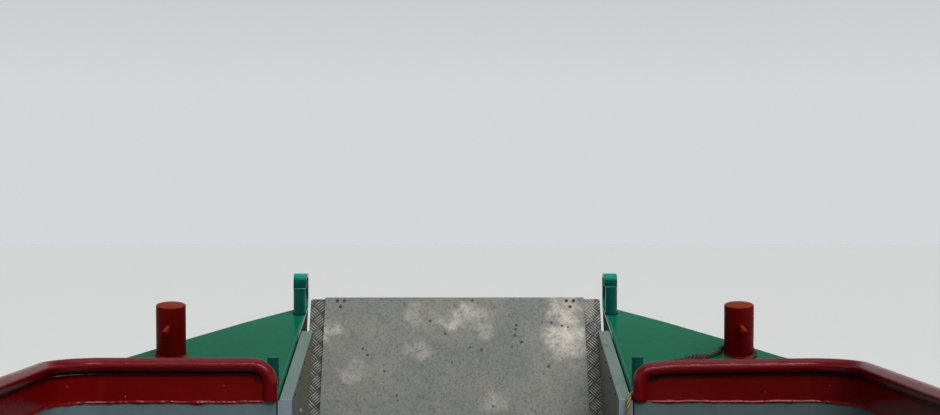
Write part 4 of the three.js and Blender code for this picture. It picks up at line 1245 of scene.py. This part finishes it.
ramp = {"foot": (0.0, 6.103, 0.620), "tilt": 58.5, "half": 0.426, "top": 0.975, "corner": 0.0018,
        "panelX": (-0.383, 0.378), "panelLow": 0.045, "panelBack": 0.0003, "panelFace": 0.0123,
        "screws": [(0.326, 0.012), (0.347, 0.012), (0.3365, 0.032)]}    # x and distance below the top edge
rampPlace = moved(*ramp["foot"]) @ turned(ramp["tilt"], "X")
# Groups of five bars, each group square to its neighbours, in a checker turned 45 degrees to the plate
tread = {"pitch": 0.0246, "bars": 5, "spacing": 0.0069, "length": 0.0325, "width": 0.0043, "height": 0.0016,
         "rowY": 0.928, "columnX": {"right": 0.3995, "left": -0.4190}}


def treadBars(side):
    form = bmesh.new()
    left, right = ramp["panelX"]
    way = 1 if side == "right" else -1
    outer = way * (ramp["half"] - 0.0008)
    lowX, highX = (right + 0.0004, outer) if way > 0 else (outer, left - 0.0004)
    lowY, highY = 0.034, ramp["top"] - 0.002
    pitch, slant = tread["pitch"], ramp["corner"]
    shape = Matrix.Diagonal((tread["length"] / 2, tread["width"] / 2, tread["height"], 1))
    for row in range(-2, int(highY / pitch)):
        for column in (-1, 0, 1):
            x, y = tread["columnX"][side] + column * pitch, tread["rowY"] - row * pitch
            if (row + column) % 2 or not lowX - pitch < x < highX + pitch or y < lowY - pitch:
                continue
            cell = moved(x, y, 0) @ turned(45 if column % 2 else -45, "Z")
            for bar in range(tread["bars"]):
                across = (bar - (tread["bars"] - 1) / 2) * tread["spacing"]
                bmesh.ops.create_cone(form, cap_ends=True, segments=14, radius1=1.0, radius2=0.62, depth=1.0,
                                      matrix=cell @ moved(0, across, tread["height"] / 2) @ shape)
    cuts = [((lowX, 0, 0), (1, 0, 0)), ((highX, 0, 0), (-1, 0, 0)), ((0, lowY, 0), (0, 1, 0)),
            ((0, highY, 0), (0, -1, 0)), ((outer - way * slant, highY - slant, 0), (-way, -1, 0))]
    for point, normal in cuts:
        trimmed(form, point, normal, 1e-6)
    bmesh.ops.transform(form, matrix=rampPlace, verts=form.verts)
    return finishMesh(form, "treadBars", 30)


form = bmesh.new()
left, right = ramp["panelX"]
addBlock(form, (left, ramp["panelLow"], ramp["panelBack"]),
        (right, ramp["top"], ramp["panelFace"]), rampPlace, 0.0022)
piece("ramp_board", finishMesh(form, "board"), "panelGrit", ["ramp_panel"], "ramp")
softened("ramp_plate", 0.001, "treadGround")
for side in ("right", "left"):
    piece(f"tread_bars_{side}", treadBars(side), "treadMetal", body="ramp")
spots = [rampPlace @ moved(x, ramp["top"] - below, ramp["panelFace"]) for x, below in ramp["screws"]]
heads = screwsMesh("boardScrews", spots, 0.0052, 0.0014)
bothSides("board_screws", heads, "screwIron", bodies=("ramp", "ramp"))
print("stage: ramp made")


# The rest of the hull

for node in ("bow_rake", "baseplate", "hull_side_right", "hull_side_left", "stern_counter", "stern_swim",
             "skeg"):
    softened(node, 0.0025, "hullPaint")
softened("well_floor", 0.002, "greyPaint")
softened("stern_deck", 0.002, "deckPaint")
engine = cadNodes["engine"].data.materials
engine.clear()
engine.append(finishes["darkIron"][0])


# Finishes of the cabin

coachwork = {
    "pitch": 2.3, "middle": 0.9,                 # along the side, one panel round each window
    "panel": (0.94, 0.365), "middleZ": 1.535,    # half sizes
    "corner": 0.06,
    "inside": tones((20, 84, 68), (14, 70, 56), 1.4), "border": tones((12, 46, 38), (8, 36, 30), 1.4),
    # the lines' distances inwards, half widths and colours
    "lines": [(0.0, 0.0055, rgb(206, 190, 140)), (0.019, 0.0022, rgb(140, 16, 12))],
}


def cabinPaint():
    spec = coachwork
    material, shader, place = newMaterial("cabinPaint")
    _, y, z = axesOf(place)
    pitch = spec["pitch"]
    along = calc("FLOORED_MODULO", y + (pitch / 2 - spec["middle"]), pitch) - pitch / 2
    ways = zip((along, z - spec["middleZ"]), spec["panel"])
    out = [abs(way) - (half - spec["corner"]) for way, half in ways]
    beyond = [larger(way, 0.0) for way in out]
    arc = calc("SQRT", beyond[0] * beyond[0] + beyond[1] * beyond[1])
    gap = arc + calc("MINIMUM", larger(*out), 0.0) - spec["corner"]
    inside, border = (tonesOf(place, spec[part]) for part in ("inside", "border"))
    color = mixed(ranged(gap, -0.0005, 0.0005), inside, border)
    wobble = ranged(noiseOf(place, 30.0, 2.0), 0.3, 0.7, -0.0006, 0.0006)
    for inset, half, shade in spec["lines"]:
        color = mixed(ranged(abs(gap + wobble + inset), half + 0.0005, half), color, shade)
    finishPaint(shader, place, paints["cabinPlain"], color)
    return material


# Planks run along Y; the grain is long and wavy, with darker late wood
woods = table("light dark late rough", {
    "bench": ((150, 104, 60), (98, 60, 30), (66, 38, 18), (0.42, 0.6)),
    "floorboards": ((136, 96, 58), (90, 58, 32), (58, 36, 18), (0.5, 0.7)),
    "grip": ((176, 128, 74), (128, 84, 44), (84, 52, 26), (0.3, 0.42)),
})


def wood(name):
    spec = woods[name]
    material, shader, place = newMaterial(name + "Wood")
    wave = noiseOf(stretched(place, (6.0, 0.7, 6.0)), 1.0, 3.0)
    warped = made("VectorMath", {0: stretched(place, (1.0, 0.05, 1.0)), 1: wave}, operation="ADD")
    rings = noiseOf(warped, 46.0, 4.0, 0.6)
    pores = noiseOf(stretched(place, (1.0, 0.03, 1.0)), 900.0, 3.0)
    color = mottled(stretched(place, (1.0, 0.2, 1.0)), 5.0, spec["light"], spec["dark"])
    color = mixed(ranged(rings, 0.5, 0.68, 0.0, 0.6), color, spec["late"])
    color = mixed(ranged(pores, 0.6, 0.75, 0.0, 0.5), color, spec["late"])
    worn = use("edgeWear", place, Radius=0.003, Scale=60.0, Amount=0.4)
    color = mixed(worn * 0.6, color, spec["light"])
    height = rings * 0.4 - ranged(pores, 0.6, 0.75, 0.0, 0.6)
    dress(shader, color, ranged(rings, 0.3, 0.7, *spec["rough"]), height, 0.3, 0.0008)
    return material, "seat_wood"


def glass():
    material, shader, place = newMaterial("windowGlass")
    rough = ranged(noiseOf(place, 7.0, 5.0, 0.7), 0.45, 0.75, 0.02, 0.12)
    dress(shader, (0.86, 0.93, 0.9, 1.0), rough, noiseOf(place, 5.0, 1.0), 0.05, 0.001)
    setInputs(shader, {"IOR": 1.5, "Transmission Weight": 1.0})
    return material


finishes["cabinPaint"] = cabinPaint(), "cabin_green"
finishes["glass"] = glass(), "pale_grey"
finishes.update({name: wood(name) for name in woods})


# Cabin shell, with framed windows in its sloping sides

cabin = {"baseX": 0.900, "baseZ": 1.100, "topX": 0.830, "topZ": 1.960, "wall": 0.040, "roofTopZ": 2.0403}
windows = {"along": (0.9, -1.4, -3.7), "middleZ": 1.55,
           "size": (0.900, 0.4214, 0.090),    # width, height, corner
           "flange": 0.024, "lip": 0.012, "flangeThick": 0.005, "pane": 0.005, "barY": (0.085, 0.105)}
for side in ("right", "left"):
    softened(f"cabin_side_{side}", 0.002, "cabinPaint")
    softened(f"roof_handrail_{side}", 0.005, "railPaint", segments=3)
softened("cabin_roof", 0.004, "roofPaint")
for node in ("front_bulkhead", "rear_bulkhead"):
    softened(node, 0.0015, "cabinPlain")


# The place on the starboard side's outer face, with x forward, y up the slope and z out
def sidePlace(y, z):
    slope = (cabin["baseX"] - cabin["topX"]) / (cabin["topZ"] - cabin["baseZ"])
    up, forward = Vector((-slope, 0, 1)).normalized(), Vector((0, 1, 0))
    turn = Matrix((forward, up, forward.cross(up))).transposed().to_4x4()
    return moved(cabin["baseX"] - slope * (z - cabin["baseZ"]), y, z) @ turn


# A window's outline grown by out, as width, height and corner
def grown(out):
    width, height, corner = windows["size"]
    return width + 2 * out, height + 2 * out, corner + out


def windowFrames():
    form = bmesh.new()
    flange, thick, lip, wall = windows["flange"], windows["flangeThick"], windows["lip"], cabin["wall"]
    high = windows["size"][0] / 2 - lip
    low, top = windows["barY"]
    for y in windows["along"]:
        place = sidePlace(y, windows["middleZ"])
        for depth in (0.0003, -wall - thick - 0.0003):
            addPlaque(form, place @ moved(0, 0, depth), *grown(flange), thick, flange + lip, 0.0012)
        addPlaque(form, place @ moved(0, 0, -wall - 0.001), *grown(-0.001), wall + 0.002, lip - 0.003)
        addBlock(form, (-high, low, -0.030), (high, top, -0.008), place, 0.003)
        for end in (-0.28, 0.28):
            addBlock(form, (end - 0.018, top, -0.036), (end + 0.018, top + 0.012, -0.030), place, 0.002)
    return finishMesh(form, "frames")


def windowPanes():
    form = bmesh.new()
    for y in windows["along"]:
        place = sidePlace(y, windows["middleZ"]) @ moved(0, 0, -0.021)
        addPlaque(form, place, *grown(0.002 - windows["lip"]), windows["pane"], None, 0.0008)
    return finishMesh(form, "panes")


bothSides("window_frames", windowFrames(), "brass")
bothSides("window_panes", windowPanes(), "glass")
print("stage: cabin and windows made")


# Doors: each leaf has two raised panels in mouldings, and a knob

doors = {
    "x": 0.146, "width": 0.206, "knobX": 0.026, "fieldInset": 0.026,
    # corner, thickness, rim, rounding
    "moulding": (0.020, 0.006, 0.016, 0.0024), "field": (0.012, 0.004, None, 0.0022),
    "front": {"faceY": 1.900, "turn": 180, "panels": ((0.700, 1.190), (1.280, 1.800)), "knobZ": 1.236},
    "rear": {"faceY": -4.850, "turn": 0, "panels": ((1.150, 1.430), (1.500, 1.800)), "knobZ": 1.465},
    "knob": [(0, 0.0005), (0.019, 0.0005), (0.019, 0.003), (0.016, 0.0048), (0.008, 0.006), (0.0065, 0.014),
             (0.009, 0.020), (0.015, 0.026), (0.0156, 0.031), (0.012, 0.0365), (0.006, 0.039), (0, 0.0395)],
}


# The place on a leaf's outer face, with y up and z out of the face
def doorPlace(which, x, z):
    return moved(x, doors[which]["faceY"], z) @ turned(doors[which]["turn"], "Z") @ turned(90, "X")


def doorPanels(which, kind, inset):
    form = bmesh.new()
    for low, high in doors[which]["panels"]:
        place = doorPlace(which, doors["x"], (low + high) / 2) @ moved(0, 0, 0.0002)
        addPlaque(form, place, doors["width"] - 2 * inset, high - low - 2 * inset, *doors[kind], 6)
    return finishMesh(form, kind)


for which in ("front", "rear"):
    bodies = (f"{which}_door_right", f"{which}_door_left")
    for leaf in bodies:
        softened(leaf, 0.0015, "cabinPlain")
    knob = turnedMesh("knob", doors["knob"], doorPlace(which, doors["knobX"], doors[which]["knobZ"]), 36)
    for part, mesh, finish in (("moulding", doorPanels(which, "moulding", 0), "creamPaint"),
                               ("field", doorPanels(which, "field", doors["fieldInset"]), "railPaint"),
                               ("knob", knob, "brass")):
        bothSides(f"{which}_door_{part}", mesh, finish, bodies=bodies)
print("stage: doors made")


# On the roof. Profiles are radius and height

roofThings = {
    "vents": (1.1, -2.3), "chimney": (-0.480, 0.300), "bands": (0.085, 0.235, 0.385),
    "lamp": (0, 1.690, 2.1803), "lampFootY": 1.730,
    "hatchHandleY": -4.300, "hatchTopZ": 2.0783, "handleHalf": 0.070,
    "vent": [(0, 0.0003), (0.062, 0.0003), (0.062, 0.006), (0.060, 0.008), (0.046, 0.0095), (0.038, 0.013),
             (0.034, 0.020), (0.034, 0.060), (0.086, 0.0615), (0.0905, 0.0635), (0.092, 0.067),
             (0.0905, 0.073),
             (0.086, 0.084), (0.074, 0.094), (0.056, 0.1015), (0.034, 0.1065), (0.015, 0.108),
             (0.0145, 0.1095),
             (0, 0.110)],
    "pipe": [(0.056, 0.2), (0.056, 0.41), (0.072, 0.426), (0.072, 0.449), (0.0745, 0.452), (0.0765, 0.4515),
             (0.078, 0.449), (0.078, 0.428), (0.0765, 0.4255), (0.063, 0.418), (0.062, 0.414), (0.062, 0.052),
             (0.064, 0.047), (0.076, 0.0425), (0.0795, 0.0405), (0.080, 0.0375), (0.080, -0.017), (0, -0.017),
             (0, 0.2), (0.056, 0.2)],
    "band": [(0.0622, 0), (0.0642, 0.0006), (0.0650, 0.0022), (0.0650, 0.0158), (0.0642, 0.0174),
             (0.0622, 0.018),
             (0.0622, 0)],
    "bowl": [(0, 0.014), (0.024, 0.018), (0.056, 0.044), (0.078, 0.082), (0.084, 0.108), (0.0850, 0.1165),
             (0.0865, 0.118), (0.0905, 0.1175), (0.092, 0.1155), (0.092, 0.103), (0.0905, 0.1005),
             (0.0885, 0.098),
             (0.0865, 0.086), (0.080, 0.056), (0.066, 0.031), (0.042, 0.009), (0.022, 0.002), (0, 0)],
    "lens": [(0, 0.1165), (0.03, 0.1160), (0.06, 0.1140), (0.0825, 0.1105), (0.0825, 0.1080), (0, 0.1080)],
}
roofZ = cabin["roofTopZ"]

for i, y in enumerate(roofThings["vents"], 1):
    form = bmesh.new()
    place = moved(0, y, roofZ)
    addTurned(form, roofThings["vent"], place, 64)
    for k in range(4):
        screwHead(form, place @ turned(45 + 90 * k, "Z") @ moved(0.053, 0, 0.008), 0.0045, 0.0018)
    piece(f"vent_cowl_{i}", finishMesh(form, "vent", 50), "brass", [f"roof_vent_{i}"])

chimneyPlace = moved(*roofThings["chimney"], roofZ)
piece("chimney_pipe", turnedMesh("pipe", roofThings["pipe"], chimneyPlace, 72), "darkIron", ["chimney"])
form = bmesh.new()
for z in roofThings["bands"]:
    addTurned(form, roofThings["band"], chimneyPlace @ moved(0, 0, z), 72)
piece("chimney_bands", finishMesh(form, "bands", 50), "brass")

lampPlace, footY = moved(*roofThings["lamp"]) @ turned(-90, "X"), roofThings["lampFootY"]
form = bmesh.new()
addTurned(form, roofThings["bowl"], lampPlace, 72)
addBlock(form, (-0.025, footY - 0.030, roofZ + 0.0003), (0.025, footY + 0.030, roofZ + 0.008), bevel=0.002)
addRod(form, moved(0, footY, roofZ + 0.006), 0.016, 0.062, 36, 0.001, 0.013)
ringOn(form, moved(0, footY, roofZ + 0.010), 0.0165, 0.003, 36)
piece("lamp_bowl", finishMesh(form, "bowl", 50), "brass", ["headlamp"])
piece("lamp_lens", turnedMesh("lens", roofThings["lens"], lampPlace, 72), "glass")

softened("roof_hatch", 0.003, "railPaint", segments=3)
form = bmesh.new()
half, y = roofThings["handleHalf"], roofThings["hatchHandleY"]
grip = bent([(-half, y, 0), (-half, y, 0.030, 0.018), (half, y, 0.030, 0.018), (half, y, 0)], 8)
form.from_mesh(tubeMesh("grip", grip, 0.006, 16))
for x in (-half, half):
    addRod(form, moved(x, y, 0.0002), 0.014, 0.004, 28, 0.001)
bmesh.ops.translate(form, vec=(0, 0, roofThings["hatchTopZ"]), verts=form.verts)
piece("hatch_handle", finishMesh(form, "hatchHandle", 50), "brass", body="hatch")
print("stage: roof made")


# Benches of four boards each on their legs, and the cabin's floor

bench = {"inX": 0.640, "outX": 1.0197, "aftY": 2.420, "foreY": 5.480, "seatZ": 1.040, "board": 0.030,
         "gap": 0.006, "boards": 4, "floorZ": 0.6203}


def benchMesh():
    form = bmesh.new()
    inX, outX, aftY, foreY, seatZ, board, gap, boards, floorZ = bench.values()
    width = (outX - inX - (boards - 1) * gap) / boards
    for k in range(boards):
        x = inX + k * (width + gap)
        addBlock(form, (x, aftY, seatZ - board), (x + width, foreY, seatZ), bevel=0.004, segments=3)
    for k in range(5):
        y = aftY + 0.060 + k * (foreY - aftY - 0.150) / 4
        addBlock(form, (inX + 0.030, y, floorZ), (outX, y + 0.030, seatZ - board), bevel=0.002)
    addBlock(form, (inX + 0.020, aftY + 0.060, seatZ - 0.110), (inX + 0.042, foreY - 0.060, seatZ - board),
             bevel=0.003)
    return finishMesh(form, "bench")


bothSides("bench_boards", benchMesh(), "bench", "bench")
softened("cabin_floor", 0.002, "floorboards")


# Stern: bollards, guard rail, rudder with its tiller, propeller

stern = {"deckZ": 1.0703, "post": (0.760, -6.150), "railX": 0.930, "railTop": 1.500, "railRadius": 0.016,
         "legRadius": 0.014, "stockY": -6.560, "tillerRadius": 0.017, "tiller": (0, -5.870, 1.5866),
         "blade": [(-6.465, 0.064), (-6.465, 0.434), (-6.830, 0.434), (-6.845, 0.110), (-6.800, 0.064)],
         "ferrule": [(0.0172, 0), (0.0195, 0.001), (0.0195, 0.006), (0.0182, 0.009), (0.0182, 0.030),
                     (0.0172, 0.033), (0.012, 0.033), (0.012, 0)],
         "grip": [(0, 0.028), (0.0150, 0.028), (0.0158, 0.040), (0.0185, 0.090), (0.0190, 0.125),
                  (0.0172, 0.155),
                  (0.0180, 0.170), (0.0190, 0.180), (0.0175, 0.1885), (0.010, 0.1925), (0, 0.193)]}
sternPost = bollardMesh(moved(*stern["post"], stern["deckZ"]), "sternPost")
bothSides("stern_post", sternPost, "postPaint", "stern_bollard")


def sternRailMesh():
    x, top, deck, leg = stern["railX"], stern["railTop"], stern["deckZ"], stern["legRadius"]
    corners = [(x, -5.500, deck), (x, -5.500, top, 0.090), (x, -6.420, top, 0.260),
               (0.400, -6.740, top, 0.200)]
    corners += [(-cx, *rest) for cx, *rest in reversed(corners)]
    form = bmesh.new()
    form.from_mesh(tubeMesh("bar", bent(corners, 16), stern["railRadius"], 28))
    feet = [(x, -6.160), (0.330, -6.740), (-x, -6.160), (-0.330, -6.740)]
    for place in feet:
        addRod(form, moved(*place, deck), leg, top - deck, 28)
        ringOn(form, moved(*place, top - 0.0165), leg - 0.0005, 0.003, 28, 0.03)
    for place in feet + [(x, -5.500), (-x, -5.500)]:
        addRod(form, moved(*place, deck), 0.036, 0.006, 32, 0.0015)
        ringOn(form, moved(*place, deck + 0.007), leg, 0.003, 28, 0.03)
    return finishMesh(form, "sternRail")


piece("guard_rail", sternRailMesh(), "railPaint", ["stern_rail"])

y = stern["stockY"]
form = bmesh.new()
addPlate(form, stern["blade"], 0.016, moved(-0.008, 0, 0) @ toSide, 0.003)
addRod(form, moved(0, y, 0.0505), 0.020, 0.39, 36, 0.002)
piece("rudder_blade", finishMesh(form, "blade"), "hullPaint", ["rudder"], "steering")
form = bmesh.new()
neck = bent([(0, y, 1.280), (0, y, 1.400, 0.090), (0, y + 0.320, 1.560, 0.120), stern["tiller"]], 16)
form.from_mesh(tubeMesh("arm", neck, stern["tillerRadius"], 28))
addRod(form, moved(0, y, 0.430), 0.020, 0.870, 36, 0.002)
ringOn(form, moved(0, y, 1.290), 0.0195, 0.004, 36, 0.03)
piece("swan_neck", finishMesh(form, "neck"), "railPaint", body="steering")
tillerPlace = moved(*stern["tiller"]) @ Matrix.Rotation(math.atan2(0.04, 0.56) - math.pi / 2, 4, "X")
ferrule = turnedMesh("ferrule", stern["ferrule"], tillerPlace @ moved(0, 0, -0.003), 40)
piece("tiller_ferrule", ferrule, "brass", body="steering")
piece("tiller_grip", turnedMesh("tillerGrip", stern["grip"], tillerPlace, 40), "grip", body="steering")

screw = {"place": (0, -6.290, 0.245), "radius": 0.180, "blades": 3, "pitch": 0.6,
         "blade": (0.058, 0.0062, 0.075),    # half width, half thickness, half length
         "hub": [(0, 0), (0.016, 0.001), (0.026, 0.004), (0.034, 0.016), (0.040, 0.032), (0.040, 0.103),
                 (0.038, 0.105), (0.018, 0.105), (0.017, 0.106), (0.017, 0.1497), (0, 0.1497)]}


def propellerMesh():
    form = bmesh.new()
    wide, thick, long = screw["blade"]
    addTurned(form, screw["hub"], moved(*screw["place"]) @ turned(-90, "X"), 48)
    for k in range(screw["blades"]):
        before = set(form.verts)
        size = Matrix.Diagonal((wide, thick, long, 1))
        bmesh.ops.create_uvsphere(form, u_segments=36, v_segments=24, radius=1.0, matrix=size)
        fresh = newVerts(form, before)
        for v in fresh:
            share = v.co.z / long
            v.co.y += 0.010 * (v.co.x / wide) ** 2
            v.co = Matrix.Rotation(-0.16 * share, 3, "Z") @ v.co
        place = (moved(*screw["place"]) @ moved(0, 0.060, 0) @ turned(k * 360 / screw["blades"], "Y")
                 @ moved(0, 0, screw["radius"] - long) @ Matrix.Rotation(screw["pitch"], 4, "Z"))
        bmesh.ops.transform(form, matrix=place, verts=fresh)
    return finishMesh(form, "screw", 50)


piece("screw_blades", propellerMesh(), "brass", ["propeller"], "screw")
print("stage: stern made")


# Stage and light

# The sky's shades stand by height, ahead of the boat and behind it
studio = {
    "floorZ": 0.5, "reach": 60.0, "floor": rgb(206, 207, 205),
    "ahead": [(0.08, rgb(212, 215, 218)), (0.66, rgb(58, 64, 56)), (0.90, rgb(196, 204, 208)),
              (1.0, (1, 1, 1, 1))],
    "behind": [(0.05, rgb(212, 215, 218)), (0.50, rgb(120, 126, 130)), (0.90, rgb(130, 138, 142)),
               (1.0, (1, 1, 1, 1))],
    "hull": [(-1.03, 5.75), (1.03, 5.75), (1.03, -5.9), (0.9, -6.4), (0.5, -6.78), (0.0, -6.87),
             (-0.5, -6.78),
             (-0.9, -6.4), (-1.03, -5.9)],
}
# Degrees: the sun's width, then its lean aft and to starboard
sun = {"strength": 2.6, "wide": 60, "turn": (24, 17, 0)}
fill = {"place": (1.4, -0.9, 6.6), "aim": (0.4, 6.2, 1.3), "size": (6.2, 0.5), "watts": 210}


def makeStage():
    form = bmesh.new()
    reach = studio["reach"]
    edges = []
    for loop in [(-reach, -reach), (reach, -reach), (reach, reach), (-reach, reach)], studio["hull"]:
        verts = [form.verts.new((x, y, studio["floorZ"])) for x, y in loop]
        edges += [form.edges.new((a, b)) for a, b in zip(verts, verts[1:] + verts[:1])]
    bmesh.ops.triangle_fill(form, edges=edges, use_beauty=True)
    mesh = bpy.data.meshes.new("floor")
    bmesh.ops.recalc_face_normals(form, faces=form.faces)
    form.to_mesh(mesh)
    form.free()
    floor = bpy.data.objects.new("floor", mesh)
    scene.collection.objects.link(floor)
    material, shader, place = newMaterial("floorPaint")
    setInputs(shader, {"Base Color": studio["floor"], "Roughness": 0.8})
    mesh.materials.append(material)


makeStage()
world = bpy.data.worlds.new("sky")
scene.world = world
world.use_nodes = True
sky = world.node_tree
towards = axesOf(source(sky, "TexCoord", "Generated"))
shades = [rampOf(towards[2], studio[way]) for way in ("ahead", "behind")]
setInputs(sky.nodes["Background"], {"Color": mixed(ranged(towards[1], 0.15, -0.25, smooth=True), *shades)})
sunData = bpy.data.lights.new("sun", "SUN")
sunData.energy, sunData.angle = sun["strength"], math.radians(sun["wide"])
sunLamp = bpy.data.objects.new("sun", sunData)
sunLamp.rotation_euler = [math.radians(turn) for turn in sun["turn"]]
fillData = bpy.data.lights.new("fill", "AREA")
fillData.shape, fillData.energy = "RECTANGLE", fill["watts"]
fillData.size, fillData.size_y = fill["size"]
fillLamp = bpy.data.objects.new("fill", fillData)
fillLamp.location = fill["place"]
fillLamp.rotation_euler = (Vector(fill["aim"]) - Vector(fill["place"])).to_track_quat("-Z", "Y").to_euler()
for lamp in (sunLamp, fillLamp):
    scene.collection.objects.link(lamp)
sunLamp.visible_glossy = False
scene.view_settings.view_transform = "Standard"
print("stage: floor and lamps set")
